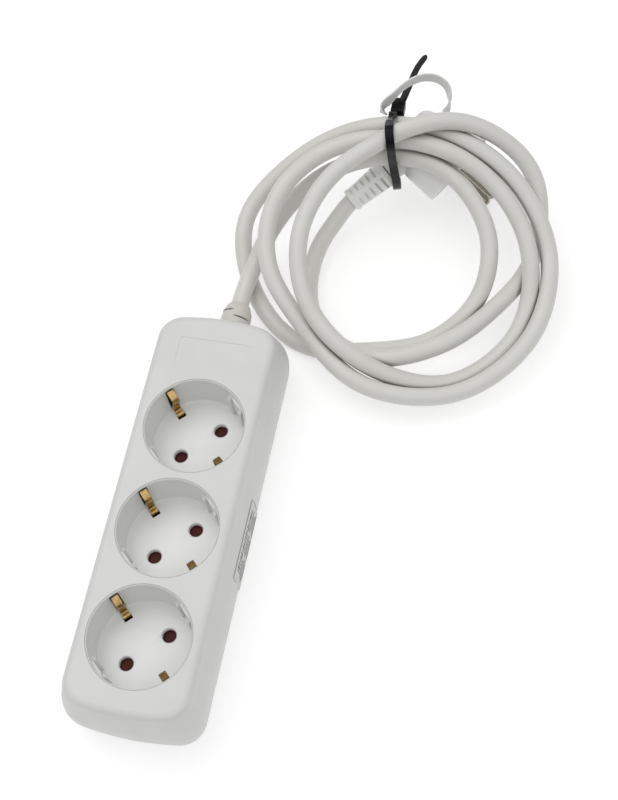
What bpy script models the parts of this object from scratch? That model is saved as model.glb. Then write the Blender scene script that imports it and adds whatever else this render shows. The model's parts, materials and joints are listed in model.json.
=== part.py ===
"""Three-way earthed power strip with its coiled mains lead, cable tie and side-entry plug.

Metres, at real size. X runs across the strip, +Y towards the lead, +Z up. The origin is the middle
of the strip's footprint, on the surface that it rests on.
"""

import math

import bmesh
import bpy
import numpy as np
from mathutils import Matrix, Vector

MM = 0.001
GAP = 0.3 * MM  # between pieces that touch

# Housing
BODY_LENGTH = 166 * MM
BODY_WIDTH = 50 * MM
BODY_HEIGHT = 36 * MM
CORNER_RADIUS = 10 * MM
END_BOW = 3 * MM
# Heights up the wall, and how far it stands out there from the length and width above, in millimetres
WALL_BULGE = ((0, -0.3), (8, 1.7), (16, 2.3), (23, 1.7), (32.8, -0.7))
TOP_ROUND = 3.2 * MM
BOTTOM_ROUND = 2.2 * MM
WALL = 2.8 * MM
DECK = 2.5 * MM
PLATE = 2.6 * MM  # bottom cover
UNDER_DECK = BODY_HEIGHT - DECK
LABEL_PAD = 26.4 * MM  # from the middle of the strip to the flat that the rating label lies on

# Sockets, side by side along Y; a plug's two pins lie on a line at PIN_ANGLE
SOCKET_PITCH = 42.9 * MM
SOCKET_MIDDLE = -9.25 * MM
SOCKETS = [SOCKET_MIDDLE + step * SOCKET_PITCH for step in (1, 0, -1)]
PIN_ANGLE = math.radians(45)
PIN_REACH = 9.5 * MM
CLIP_ANGLES = {"upper": math.radians(135), "lower": math.radians(-45)}
INSERT_RADIUS = 20 * MM
WELL_RADIUS = 19.5 * MM
WELL_FOOT_RADIUS = 19.2 * MM
WELL_BACK_RADIUS = 20.5 * MM
FLANGE_RADIUS = 21.1 * MM
FLANGE_THICK = 1.5 * MM
RIM_TOP = BODY_HEIGHT - 0.1 * MM
WELL_FLOOR = 18.5 * MM
WELL_UNDERSIDE = 16 * MM
PIN_HOLE_RADIUS = 2.75 * MM
LUG_PROUD = 2 * MM
LUG_SPREAD = 7.8 * MM
LUG_WIDTH = 1.8 * MM

# Earth clips: bent brass strip, which rocks outward at its foot when a plug goes in
CLIP_WIDTH = 3.6 * MM
CLIP_THICK = 0.5 * MM
CLIP_PIVOT = Vector((18, 0, 19.05)) * MM  # radius and height
CLIP_LEG_REACH = 14.15 * MM

# Shutter, which turns on a post of its carrier, under the well's floor
SHUTTER_BOTTOM = 14.3 * MM
SHUTTER_TOP = 15.6 * MM
SHUTTER_REACH = 13.2 * MM
SHUTTER_HALF_ANGLE = math.radians(17.5)
SHUTTER_HUB_RADIUS = 3.6 * MM
POST_RADIUS = 1.6 * MM
CARRIER_RADIUS = 17.5 * MM
CARRIER_BOTTOM = 12.5 * MM
CARRIER_TOP = 14 * MM

# Busbars and the contacts that stand on them
CONTACT_OFFSET = PIN_REACH * math.cos(PIN_ANGLE)
CONTACT_LENGTH = 6 * MM
BAR_WIDTH = 4 * MM
BAR_THICK = 0.8 * MM
BAR_BOTTOM = 3.9 * MM
EARTH_BAR_BOTTOM = 9.6 * MM
BAR_START = -60 * MM
BAR_END = 52 * MM

# Screws
HOUSING_SCREWS = [(x * MM, y * MM) for y in (70, -73.5) for x in (-17.5, 17.5)]
CLAMP_SCREWS = [(x * MM, 72 * MM) for x in (-7.5, 7.5)]

# Lead
CORD_RADIUS = 3.7 * MM
CORD_EXIT_HEIGHT = 13 * MM
CLAMP_BAR_TOP = CORD_EXIT_HEIGHT - CORD_RADIUS - GAP
CLAMP_BAR_THICK = 2.2 * MM
GLAND_INNER_END = 77.6 * MM
GLAND_TIP = 100.05 * MM
CORE_RADIUS = 1.05 * MM
CORE_START = 62 * MM
COIL_CENTRE = Vector((58, 142.75, 0)) * MM
TURN_STEPS = 12
LEAD_OUT = ((0, 100.7, 13), (0.2, 106, 13.1), (0.9, 112.2, 13.3))
LEAD_IN = ((31.6, 151, 8.8), (35.6, 158.6, 11.7))
# Two rows for each turn: the lead's distance from the coil's centre and its height, in millimetres,
# at twelve places round the turn. The turns lie loosely over each other, as they were gathered.
COIL_ROWS = (
    ((48, 21), (37, 28), (30, 32), (27, 35), (29, 35), (33, 32)),
    ((41, 24), (47, 14), (48, 5), (50, 4), (60, 4), (63, 5)),
    ((65, 13), (55, 22), (44, 35), (39, 41), (41, 42), (52, 34)),
    ((66, 20), (75, 14), (77, 10), (72, 16), (58, 20), (55, 27)),
    ((49, 34), (40, 39), (33, 42), (30, 43), (33, 42), (43, 35)),
    ((57, 24), (68, 9), (70, 6), (64, 19), (53, 29), (40, 38)),
    ((30, 43), (25, 46), (24, 48), (29, 51), (45, 48), (63, 29)),
    ((60, 12), (55, 14), (57, 16), (58, 13), (50, 9), (38, 5)),
    ((31, 6),),
)

# Plug: its own axes are X towards the lead, +Y along the pins, Z up, from the middle of its face
PLUG_FACE = Vector((80.9, 178.5, 16.9)) * MM
PLUG_TILT = [math.radians(angle) for angle in (-21.7, 15, -125)]
PLUG_PIN_ANGLE = math.radians(68)
PLUG_STRIP_ANGLE = math.pi / 2 - PLUG_PIN_ANGLE
PLUG_RADIUS = 17.2 * MM
PLUG_DEPTH = 15 * MM
PLUG_PIN_RADIUS = 2.4 * MM
PLUG_PIN_LENGTH = 19 * MM
BLOCK_END = 13.9 * MM
RELIEF_WIDE = Vector((21.4, -22.6, 0.2)) * MM
RELIEF_NARROW = Vector((40.8, -25.8, -3.7)) * MM

# Tie and band
TIE_WIDTH = 3.6 * MM
TIE_THICK = 1.1 * MM
BAND_WIDTH = 4.2 * MM
BAND_THICK = 1 * MM

SMOOTH_LIMIT = math.radians(38)


# ---------------------------------------------------------------- scene, materials, objects


def clear_scene():
    """Removes everything and makes the two collections."""
    for obj in list(bpy.data.objects):
        bpy.data.objects.remove(obj)
    for name in ("power_strip", "cutters"):
        bpy.context.scene.collection.children.link(bpy.data.collections.new(name))


def make_material(name, colour, roughness, metallic=0.0):
    """Principled material."""
    made = bpy.data.materials.new(name)
    made.use_nodes = True
    shader = made.node_tree.nodes["Principled BSDF"]
    shader.inputs["Base Color"].default_value = (*colour, 1)
    shader.inputs["Roughness"].default_value = roughness
    shader.inputs["Metallic"].default_value = metallic
    return made


def mesh_from(bm, name):
    """Turns a bmesh into a mesh whose round faces are shaded smooth."""
    mesh = bpy.data.meshes.new(name)
    bm.to_mesh(mesh)
    bm.free()
    mesh.shade_smooth()
    mesh.set_sharp_from_angle(angle=SMOOTH_LIMIT)
    return mesh


def add_object(name, mesh, collection="power_strip", parent=None):
    """Links a new object that holds the mesh or curve."""
    obj = bpy.data.objects.new(name, mesh)
    bpy.data.collections[collection].objects.link(obj)
    obj.parent = parent
    return obj


def add_part(name, bm, material, parent=None):
    """A finished sub-part from a bmesh."""
    mesh = mesh_from(bm, name)
    mesh.materials.append(material)
    return add_object(name, mesh, parent=parent)


def add_copies(name, mesh, material, places):
    """Objects that share one mesh, numbered from 1, at places given as (location, turn about Z)."""
    mesh.materials.clear()
    mesh.materials.append(material)
    for number, (location, turn) in enumerate(places, 1):
        obj = add_object(f"{name}_{number}", mesh)
        obj.location = location
        obj.rotation_euler.z = turn


def helper(shape, parent=None):
    """A cutter or a shape to join: a bmesh or an object, never itself a sub-part."""
    obj = shape
    if isinstance(shape, bmesh.types.BMesh):
        obj = add_object("helper", mesh_from(shape, "helper"), collection="cutters")
    obj.parent = parent
    obj.hide_render = True
    obj.display_type = "WIRE"
    return obj


def combine(target, shape, operation, parent=None):
    """Adds a Boolean modifier."""
    modifier = target.modifiers.new(operation.lower(), "BOOLEAN")
    modifier.operation = operation
    modifier.object = helper(shape, parent)


def cut(target, shape, parent=None):
    """Takes the shape away from the target."""
    combine(target, shape, "DIFFERENCE", parent)


def join(target, shape, parent=None):
    """Joins the shape to the target, which it overlaps."""
    combine(target, shape, "UNION", parent)


def baked(obj):
    """The finished mesh of an object, for its copies to share. The object is removed."""
    graph = bpy.context.evaluated_depsgraph_get()
    mesh = bpy.data.meshes.new_from_object(obj.evaluated_get(graph))
    bpy.data.objects.remove(obj)
    return mesh


# ---------------------------------------------------------------- shapes


def arc(centre, radius, start, end, steps):
    """Points along an arc, both ends included."""
    angles = np.linspace(start, end, steps + 1)
    return [(centre[0] + radius * math.cos(a), centre[1] + radius * math.sin(a)) for a in angles]


def box(low, high):
    """Upright box between two corners."""
    bm = bmesh.new()
    low = Vector(low)
    high = Vector(high)
    bmesh.ops.create_cube(bm, size=1, matrix=Matrix.LocRotScale((low + high) / 2, None, high - low))
    return bm


def rod(radius, low, high, places, segments=12):
    """Upright cylinders, one at each place in X and Y."""
    bm = bmesh.new()
    for x, y in places:
        bmesh.ops.create_cone(
            bm,
            cap_ends=True,
            segments=segments,
            radius1=radius,
            radius2=radius,
            depth=high - low,
            matrix=Matrix.Translation((x, y, (low + high) / 2)),
        )
    return bm


def prism(outline, low, high):
    """Flat outline in X and Y, extruded from low to high."""
    bm = bmesh.new()
    base = bm.faces.new([bm.verts.new((x, y, low)) for x, y in outline])
    raised = bmesh.ops.extrude_face_region(bm, geom=[base])
    moved = [item for item in raised["geom"] if isinstance(item, bmesh.types.BMVert)]
    bmesh.ops.translate(bm, vec=(0, 0, high - low), verts=moved)
    bmesh.ops.recalc_face_normals(bm, faces=bm.faces)
    return bm


def upright_prism(outline, low, high):
    """Outline in X and Z, extruded along Y from low to high."""
    bm = prism(outline, -high, -low)
    bmesh.ops.rotate(bm, matrix=Matrix.Rotation(math.pi / 2, 3, "X"), verts=bm.verts)
    return bm


def turned(name, profile, steps, material=None, collection="power_strip", parent=None):
    """Solid of revolution about Z. The profile of (radius, height) runs down its outer side."""
    mesh = bpy.data.meshes.new(name)
    edges = [(i, i + 1) for i in range(len(profile) - 1)]
    mesh.from_pydata([(radius, 0, height) for radius, height in profile], edges, [])
    if material:
        mesh.materials.append(material)
    obj = add_object(name, mesh, collection, parent)
    screw = obj.modifiers.new("turn", "SCREW")
    screw.steps = steps
    screw.render_steps = steps
    screw.use_merge_vertices = True
    screw.merge_threshold = 0.00001
    return obj


def turned_cutter(profile, steps, places):
    """Turned shapes to cut with, as one bmesh, one at each place in X and Y."""
    mesh = baked(turned("turned_cutter", profile, steps, collection="cutters"))
    bm = bmesh.new()
    for x, y in places:
        known = set(bm.verts)
        bm.from_mesh(mesh)
        bmesh.ops.translate(bm, vec=(x, y, 0), verts=[v for v in bm.verts if v not in known])
    bmesh.ops.remove_doubles(bm, verts=bm.verts, dist=0.000001)
    return bm


def strip_outline(centreline, thickness):
    """Outline of a bent strip seen from its edge, half its thickness to each side of the centreline."""
    points = [Vector(p) for p in centreline]
    left = []
    right = []
    for i, point in enumerate(points):
        before = (point - points[i - 1]).normalized() if i else None
        after = (points[i + 1] - point).normalized() if i + 1 < len(points) else None
        along = ((before or after) + (after or before)).normalized()
        reach = thickness / 2 / along.dot(after or before)
        side = Vector((-along.y, along.x)) * reach
        left.append(tuple(point + side))
        right.append(tuple(point - side))
    return left + right[::-1]


def ribbon(points, width, thickness, across, closed=False):
    """Flat strap along the points, with its width along the vector across."""
    bm = bmesh.new()
    last = len(points) - 1
    rings = []
    for i, point in enumerate(points):
        before = points[i - 1] if closed or i else point
        after = points[(i + 1) % len(points)] if closed or i < last else point
        along = (after - before).normalized()
        side = (across - along * across.dot(along)).normalized()
        out = along.cross(side)
        half_width = side * width / 2
        half_thickness = out * thickness / 2
        corners = ((1, 1), (-1, 1), (-1, -1), (1, -1))
        rings.append([bm.verts.new(point + a * half_width + b * half_thickness) for a, b in corners])
    following = rings[1:] + rings[:1] if closed else rings[1:]
    for ring, following_ring in zip(rings, following):
        for i in range(4):
            j = (i + 1) % 4
            bm.faces.new((ring[i], ring[j], following_ring[j], following_ring[i]))
    if not closed:
        bm.faces.new(rings[0])
        bm.faces.new(rings[-1])
    bmesh.ops.recalc_face_normals(bm, faces=bm.faces)
    return bm


def smooth_route(knots, count):
    """Evenly spaced points along a smooth curve through the knots."""
    knots = np.array([tuple(knot) for knot in knots])
    spans = np.linalg.norm(np.diff(knots, axis=0), axis=1)[:, None]
    slopes = np.diff(knots, axis=0) / spans
    tangents = np.empty_like(knots)
    tangents[1:-1] = (spans[1:] * slopes[:-1] + spans[:-1] * slopes[1:]) / (spans[1:] + spans[:-1])
    tangents[0] = 2 * slopes[0] - tangents[1]
    tangents[-1] = 2 * slopes[-1] - tangents[-2]
    shares = np.linspace(0, 1, 25)[:-1, None]
    dense = [knots[-1:]]
    for i in reversed(range(len(spans))):
        rise = shares**2 * (3 - 2 * shares)
        leave = shares * (1 - shares) ** 2 * spans[i]
        arrive = shares**2 * (shares - 1) * spans[i]
        piece = knots[i] * (1 - rise) + knots[i + 1] * rise + leave * tangents[i] + arrive * tangents[i + 1]
        dense.insert(0, piece)
    dense = np.concatenate(dense)
    travelled = np.concatenate([[0], np.cumsum(np.linalg.norm(np.diff(dense, axis=0), axis=1))])
    stops = np.linspace(0, travelled[-1], count)
    even = np.stack([np.interp(stops, travelled, dense[:, axis]) for axis in range(3)], axis=1)
    return [Vector(point.tolist()) for point in even]


def tube(name, points, radius, material, bevel_resolution=2):
    """Round tube with closed ends along the points."""
    curve = bpy.data.curves.new(name, "CURVE")
    curve.dimensions = "3D"
    curve.bevel_depth = radius
    curve.bevel_resolution = bevel_resolution
    curve.use_fill_caps = True
    curve.materials.append(material)
    spline = curve.splines.new("POLY")
    spline.points.add(len(points) - 1)
    for spline_point, point in zip(spline.points, points):
        spline_point.co = (*point, 1)
        spline_point.radius = 1
    return add_object(name, curve)


def in_mm(*points):
    """Vectors in metres from points in millimetres."""
    return [Vector(point) * MM for point in points]


# ---------------------------------------------------------------- housing


def plan_outline(inset=0.0, bulge=0.0):
    """The strip from above: straight sides, rounded corners and slightly bowed ends."""
    half_width = BODY_WIDTH / 2 + bulge - inset
    half_length = BODY_LENGTH / 2 + bulge - inset
    radius = max(CORNER_RADIUS - inset, 2 * MM)
    lean = math.atan(2 * END_BOW * (half_width - radius) / half_width**2)
    arc_end = math.pi / 2 - lean
    corner_x = half_width - radius
    bow_start = corner_x + radius * math.cos(arc_end)

    def end_y(x):
        return half_length - END_BOW * (x / half_width) ** 2

    corner_y = end_y(bow_start) - radius * math.sin(arc_end)
    quarter = arc((corner_x, corner_y), radius, 0, arc_end, 4)
    quarter += [(x, end_y(x)) for x in np.linspace(bow_start, 0, 5)[1:]]
    half = quarter + [(-x, y) for x, y in quarter[-2::-1]]
    return half + [(-x, -y) for x, y in half]


def bulge_at(height):
    """How far the wall stands out at a height."""
    heights, bulges = zip(*WALL_BULGE)
    return float(np.interp(height / MM, heights, bulges)) * MM


def housing_outside(top_steps, bottom_steps):
    """Closed body that is widest half-way up, with both its rims rounded."""
    levels = []
    for i in range(bottom_steps + 1):
        turn = math.pi / 2 * i / bottom_steps
        levels.append((BOTTOM_ROUND * (1 - math.cos(turn)), BOTTOM_ROUND * (1 - math.sin(turn))))
    levels += [(height * MM, 0) for height, _ in WALL_BULGE[1:-1]]
    for i in range(top_steps + 1):
        turn = math.pi / 2 * i / top_steps
        height = BODY_HEIGHT - TOP_ROUND * (1 - math.sin(turn))
        levels.append((height, TOP_ROUND * (1 - math.cos(turn))))
    bm = bmesh.new()
    rings = []
    for height, inset in levels:
        outline = plan_outline(inset, bulge_at(height))
        rings.append([bm.verts.new((x, y, height)) for x, y in outline])
    for ring, above in zip(rings, rings[1:]):
        for i in range(len(ring)):
            j = (i + 1) % len(ring)
            bm.faces.new((ring[i], ring[j], above[j], above[i]))
    bm.faces.new(rings[0])
    bm.faces.new(rings[-1])
    bmesh.ops.recalc_face_normals(bm, faces=bm.faces)
    return bm


def top_housing(material):
    """Upper shell with the deck holes, screw bosses, cord saddle and hole, and a pad for the label."""
    shell = add_part("top_housing", housing_outside(4, 2), material)
    cut(shell, prism(plan_outline(WALL), -MM, UNDER_DECK))
    boss_top = UNDER_DECK + MM
    join(shell, rod(3.2 * MM, PLATE + GAP, boss_top, HOUSING_SCREWS))
    join(shell, rod(2.9 * MM, CLAMP_BAR_TOP + GAP, boss_top, CLAMP_SCREWS))
    saddle_bottom = CORD_EXIT_HEIGHT + CORD_RADIUS + GAP
    join(shell, box((-5.5 * MM, 69.5 * MM, saddle_bottom), (5.5 * MM, 74.5 * MM, boss_top)))
    cut(shell, rod(1.75 * MM, 0, 26 * MM, HOUSING_SCREWS))
    cut(shell, rod(1.6 * MM, 0, 24 * MM, CLAMP_SCREWS))
    deck_holes = rod(INSERT_RADIUS + GAP, UNDER_DECK - MM, BODY_HEIGHT + MM, [(0, y) for y in SOCKETS], 36)
    cut(shell, deck_holes)
    cord_hole = rod(6.7 * MM, 78 * MM, 86 * MM, [(0, -CORD_EXIT_HEIGHT)], 24)
    bmesh.ops.rotate(cord_hole, matrix=Matrix.Rotation(-math.pi / 2, 3, "X"), verts=cord_hole.verts)
    cut(shell, cord_hole)
    cut(shell, box((LABEL_PAD, -20.9 * MM, 7.1 * MM), (LABEL_PAD + 3 * MM, 12.4 * MM, 23.4 * MM)))
    name_panel_low = (-14.5 * MM, 60 * MM, BODY_HEIGHT - 0.25 * MM)
    cut(shell, box(name_panel_low, (14.5 * MM, 71 * MM, BODY_HEIGHT + MM)))


def rating_label(material):
    """Blank sticker on the flat pad of the side wall."""
    low = (LABEL_PAD + GAP, -20.5 * MM, 7.5 * MM)
    add_part("rating_label", box(low, (LABEL_PAD + GAP + 0.2 * MM, 12 * MM, 23 * MM)), material)


def bottom_cover(material):
    """Plate that closes the housing, with ribs and posts that hold the busbars."""
    plate = add_part("bottom_cover", prism(plan_outline(WALL + GAP), 0, PLATE), material)
    rib_top = BAR_BOTTOM - GAP
    for y in SOCKETS:
        rib_y = y - SOCKET_PITCH / 2 + 8 * MM
        rib_low = (-11 * MM, rib_y - 1.5 * MM, PLATE - MM)
        join(plate, box(rib_low, (11 * MM, rib_y + 1.5 * MM, rib_top)))
    join(plate, rod(1.9 * MM, PLATE - MM, EARTH_BAR_BOTTOM - GAP, [(0, y) for y in SOCKETS]))
    counterbore = [(0, 1.7 * MM), (3.1 * MM, 1.7 * MM), (3.1 * MM, -MM), (0, -MM)]
    cut(plate, turned_cutter(counterbore, 12, HOUSING_SCREWS))
    cut(plate, rod(1.75 * MM, MM, PLATE + MM, HOUSING_SCREWS))


def screw_mesh(head_radius, head_height, shaft_radius, length):
    """Screw standing on its slotted head, with a pointed end."""
    profile = [
        (0, length),
        (shaft_radius, length - 2 * MM),
        (shaft_radius, head_height),
        (head_radius, head_height),
        (head_radius, 0.3 * MM),
        (head_radius - 0.3 * MM, 0),
        (0, 0),
    ]
    screw = turned("screw", profile, 10, collection="cutters")
    cut(screw, box((-4 * MM, -0.35 * MM, -MM), (4 * MM, 0.35 * MM, 0.5 * MM)))
    return baked(screw)


def screws(material):
    """The four screws of the bottom cover and the two of the cord clamp."""
    housing_screw = screw_mesh(2.8 * MM, 1.05 * MM, 1.45 * MM, 16 * MM)
    places = [((x, y, 0.35 * MM), 0.6) for x, y in HOUSING_SCREWS]
    add_copies("housing_screw", housing_screw, material, places)
    clamp_screw = screw_mesh(2.6 * MM, 1.5 * MM, 1.3 * MM, 14 * MM)
    head_bottom = CLAMP_BAR_TOP - CLAMP_BAR_THICK - GAP - 1.5 * MM
    places = [((x, y, head_bottom), 0.3) for x, y in CLAMP_SCREWS]
    add_copies("clamp_screw", clamp_screw, material, places)


def cord_clamp(material):
    """Bar that presses the lead against the housing's saddle."""
    bm = box((-10.5 * MM, 68.5 * MM, CLAMP_BAR_TOP - CLAMP_BAR_THICK), (10.5 * MM, 75.5 * MM, CLAMP_BAR_TOP))
    uprights = [edge for edge in bm.edges if abs(edge.verts[0].co.z - edge.verts[1].co.z) > MM]
    bmesh.ops.bevel(bm, geom=uprights, offset=2.5 * MM, segments=4, profile=0.5, affect="EDGES")
    bar = add_part("cord_clamp", bm, material)
    cut(bar, rod(1.6 * MM, 0, CORD_EXIT_HEIGHT, CLAMP_SCREWS))


# ---------------------------------------------------------------- sockets


def around(reach, *angles):
    """Places in X and Y at one distance from the socket's centre."""
    return [(reach * math.cos(a), reach * math.sin(a)) for a in angles]


def turned_box(low, high, angles):
    """The same box turned about the socket's centre to each angle."""
    bm = bmesh.new()
    for angle in angles:
        middle = (Vector(low) + Vector(high)) / 2
        size = Vector(high) - Vector(low)
        matrix = Matrix.Rotation(angle, 4, "Z") @ Matrix.LocRotScale(middle, None, size)
        bmesh.ops.create_cube(bm, size=1, matrix=matrix)
    return bm


def guide_rib(angle, offset):
    """One of the ribs that guide a plug: it fades out towards the rim of the well."""
    buried = WELL_RADIUS + 0.4 * MM
    proud = WELL_RADIUS - LUG_PROUD
    outline = [
        (buried, UNDER_DECK - 0.5 * MM),
        (WELL_RADIUS - 0.4 * MM, UNDER_DECK - 0.5 * MM),
        (proud, RIM_TOP - 5 * MM),
        (proud, WELL_FLOOR - MM),
        (buried, WELL_FLOOR - MM),
    ]
    bm = upright_prism(outline, offset - LUG_WIDTH / 2, offset + LUG_WIDTH / 2)
    bmesh.ops.rotate(bm, matrix=Matrix.Rotation(angle, 3, "Z"), verts=bm.verts)
    return bm


def socket_insert_mesh():
    """Round well with its floor, rim flange, guide lugs, pin holes and earth clip windows."""
    flange_top = UNDER_DECK - GAP
    profile = [
        (0, WELL_FLOOR),
        (WELL_FOOT_RADIUS - MM, WELL_FLOOR),
        (WELL_FOOT_RADIUS - 0.3 * MM, WELL_FLOOR + 0.3 * MM),
        (WELL_FOOT_RADIUS, WELL_FLOOR + MM),
        (WELL_RADIUS - 0.1 * MM, RIM_TOP - 0.4 * MM),
        (WELL_RADIUS + 0.1 * MM, RIM_TOP),
        (INSERT_RADIUS - 0.15 * MM, RIM_TOP),
        (INSERT_RADIUS, RIM_TOP - 0.15 * MM),
        (INSERT_RADIUS, flange_top),
        (FLANGE_RADIUS, flange_top),
        (FLANGE_RADIUS, flange_top - FLANGE_THICK),
        (WELL_BACK_RADIUS, flange_top - FLANGE_THICK),
        (WELL_BACK_RADIUS, WELL_UNDERSIDE),
        (0, WELL_UNDERSIDE),
    ]
    insert = turned("insert", profile, 36, collection="cutters")
    for side in (0, math.pi):
        for offset in (-LUG_SPREAD / 2, LUG_SPREAD / 2):
            join(insert, guide_rib(PIN_ANGLE + side, offset))
        plate_low = (WELL_RADIUS - 0.9 * MM, -LUG_SPREAD / 2, WELL_FLOOR - MM)
        plate_high = (WELL_RADIUS + 0.4 * MM, LUG_SPREAD / 2, UNDER_DECK - MM)
        join(insert, turned_box(plate_low, plate_high, [PIN_ANGLE + side]))
    above = WELL_FLOOR + MM
    pin_hole = [
        (0, above),
        (PIN_HOLE_RADIUS + 0.55 * MM, above),
        (PIN_HOLE_RADIUS + 0.55 * MM, WELL_FLOOR),
        (PIN_HOLE_RADIUS, WELL_FLOOR - 0.5 * MM),
        (PIN_HOLE_RADIUS, WELL_UNDERSIDE - MM),
        (0, WELL_UNDERSIDE - MM),
    ]
    cut(insert, turned_cutter(pin_hole, 16, around(PIN_REACH, PIN_ANGLE, PIN_ANGLE + math.pi)))
    window_low = (17.9 * MM, -2.2 * MM, WELL_FLOOR + MM)
    cut(insert, turned_box(window_low, (21.6 * MM, 2.2 * MM, RIM_TOP - 1.3 * MM), CLIP_ANGLES.values()))
    slot_low = (13.1 * MM, -2.1 * MM, WELL_UNDERSIDE - MM)
    cut(insert, turned_box(slot_low, (14.9 * MM, 2.1 * MM, above), CLIP_ANGLES.values()))
    return baked(insert)


def shutter_mesh():
    """Bow-tie plate that covers both pin holes, with a recess for its spring."""
    outline = []
    for side in (0, math.pi):
        middle = PIN_ANGLE + side
        wing_end = middle + SHUTTER_HALF_ANGLE
        next_wing = middle + math.pi - SHUTTER_HALF_ANGLE
        outline += arc((0, 0), SHUTTER_REACH, middle - SHUTTER_HALF_ANGLE, wing_end, 8)
        outline += arc((0, 0), SHUTTER_HUB_RADIUS, wing_end, next_wing, 12)
    plate = mesh_from(prism(outline, SHUTTER_BOTTOM, SHUTTER_TOP), "shutter")
    shutter = add_object("shutter", plate, "cutters")
    cut(shutter, rod(POST_RADIUS + 0.08 * MM, SHUTTER_BOTTOM - MM, SHUTTER_TOP + MM, [(0, 0)], 16))
    cut(shutter, rod(3.15 * MM, SHUTTER_BOTTOM + 0.6 * MM, SHUTTER_TOP + MM, [(0, 0)], 16))
    return baked(shutter)


def shutter_carrier_mesh():
    """Dished disc under the well: it holds the shutter on its post and closes the shutter's room."""
    rim_top = WELL_UNDERSIDE - GAP
    profile = [
        (0, SHUTTER_TOP),
        (POST_RADIUS, SHUTTER_TOP),
        (POST_RADIUS, CARRIER_TOP),
        (15.6 * MM, CARRIER_TOP),
        (15.6 * MM, rim_top),
        (CARRIER_RADIUS, rim_top),
        (CARRIER_RADIUS, CARRIER_BOTTOM),
        (0, CARRIER_BOTTOM),
    ]
    carrier = turned("carrier", profile, 24, collection="cutters")
    below = CARRIER_BOTTOM - MM
    pin_places = around(PIN_REACH, PIN_ANGLE, PIN_ANGLE + math.pi)
    cut(carrier, rod(2.9 * MM, below, CARRIER_TOP + MM, pin_places, 16))
    clip_low = (12.9 * MM, -2.2 * MM, below)
    clip_high = (15.2 * MM, 2.2 * MM, CARRIER_TOP + MM)
    cut(carrier, turned_box(clip_low, clip_high, CLIP_ANGLES.values()))
    return baked(carrier)


def shutter_spring_mesh(material):
    """Flat spiral spring that lies in the shutter's recess, round the post."""
    turns = 1.7
    steps = 22
    height = SHUTTER_TOP - 0.25 * MM
    points = []
    for i in range(steps + 1):
        share = i / steps
        radius = (1.98 + 0.76 * share) * MM
        angle = turns * 2 * math.pi * share
        points.append(Vector((radius * math.cos(angle), radius * math.sin(angle), height)))
    return baked(tube("spring", points, 0.17 * MM, material, 1))


def earth_clip_mesh():
    """Spring clip seen from its edge, with X outward and its origin at the foot, where it bends."""
    top_height = RIM_TOP - 1.6 * MM
    radius_and_height = in_mm((17.3, 33.5), (15.6, 32.4), (15.0, 31.3), (15.6, 29), (17.6, 24), (18.0, 19.1))
    centreline = [(19.0 * MM, top_height)]
    centreline += [tuple(point) for point in radius_and_height]
    centreline += [(CLIP_LEG_REACH, 19.1 * MM), (CLIP_LEG_REACH, EARTH_BAR_BOTTOM + BAR_THICK + GAP)]
    local = [(radius - CLIP_PIVOT.x, height - CLIP_PIVOT.z) for radius, height in centreline]
    outline = strip_outline(local, CLIP_THICK)
    return mesh_from(upright_prism(outline, -CLIP_WIDTH / 2, CLIP_WIDTH / 2), "earth_clip")


def sockets(paint):
    """Everything that is repeated at each of the three sockets."""
    places = [((0, y, 0), 0) for y in SOCKETS]
    add_copies("socket_insert", socket_insert_mesh(), paint["white_insert"], places)
    add_copies("shutter_carrier", shutter_carrier_mesh(), paint["grey_inner"], places)
    add_copies("shutter", shutter_mesh(), paint["maroon_shutter"], places)
    add_copies("shutter_spring", shutter_spring_mesh(paint["steel"]), paint["steel"], places)
    clip = earth_clip_mesh()
    for side, angle in CLIP_ANGLES.items():
        pivot_x, pivot_y = around(CLIP_PIVOT.x, angle)[0]
        pivots = [((pivot_x, y + pivot_y, CLIP_PIVOT.z), angle) for y in SOCKETS]
        add_copies(f"earth_clip_{side}", clip, paint["brass"], pivots)


# ---------------------------------------------------------------- conductors


def busbars(material):
    """Live and neutral bars under the contacts, and the earth bar with an arm to every clip."""
    top = BAR_BOTTOM + BAR_THICK
    for name, x in (("live_busbar", CONTACT_OFFSET), ("neutral_busbar", -CONTACT_OFFSET)):
        low = (x - BAR_WIDTH / 2, BAR_START, BAR_BOTTOM)
        add_part(name, box(low, (x + BAR_WIDTH / 2, BAR_END, top)), material)
    earth_top = EARTH_BAR_BOTTOM + BAR_THICK
    low = (-BAR_WIDTH / 2, BAR_START, EARTH_BAR_BOTTOM)
    earth = add_part("earth_busbar", box(low, (BAR_WIDTH / 2, BAR_END, earth_top)), material)
    reach = CLIP_LEG_REACH + MM
    arm_low = (-reach, -BAR_WIDTH / 2, EARTH_BAR_BOTTOM)
    arm_high = (reach, BAR_WIDTH / 2, earth_top)
    for y in SOCKETS:
        arms = turned_box(arm_low, arm_high, [CLIP_ANGLES["upper"]])
        bmesh.ops.translate(arms, vec=(0, y, 0), verts=arms.verts)
        join(earth, arms)


def pin_contacts(material):
    """Sprung jaws that grip a plug's pins: live on the +X side, neutral on the other."""
    foot = BAR_BOTTOM + BAR_THICK + GAP + 0.3 * MM
    centreline = [
        (-3.4 * MM, 12.1 * MM),
        (-2.5 * MM, 10.2 * MM),
        (-3.2 * MM, 7 * MM),
        (-3.2 * MM, foot),
        (3.2 * MM, foot),
        (3.2 * MM, 7 * MM),
        (2.5 * MM, 10.2 * MM),
        (3.4 * MM, 12.1 * MM),
    ]
    half = CONTACT_LENGTH / 2
    mesh = mesh_from(upright_prism(strip_outline(centreline, 0.6 * MM), -half, half), "pin_contact")
    for name, offset in (("live_contact", CONTACT_OFFSET), ("neutral_contact", -CONTACT_OFFSET)):
        add_copies(name, mesh, material, [((offset, y + offset, 0), 0) for y in SOCKETS])


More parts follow.
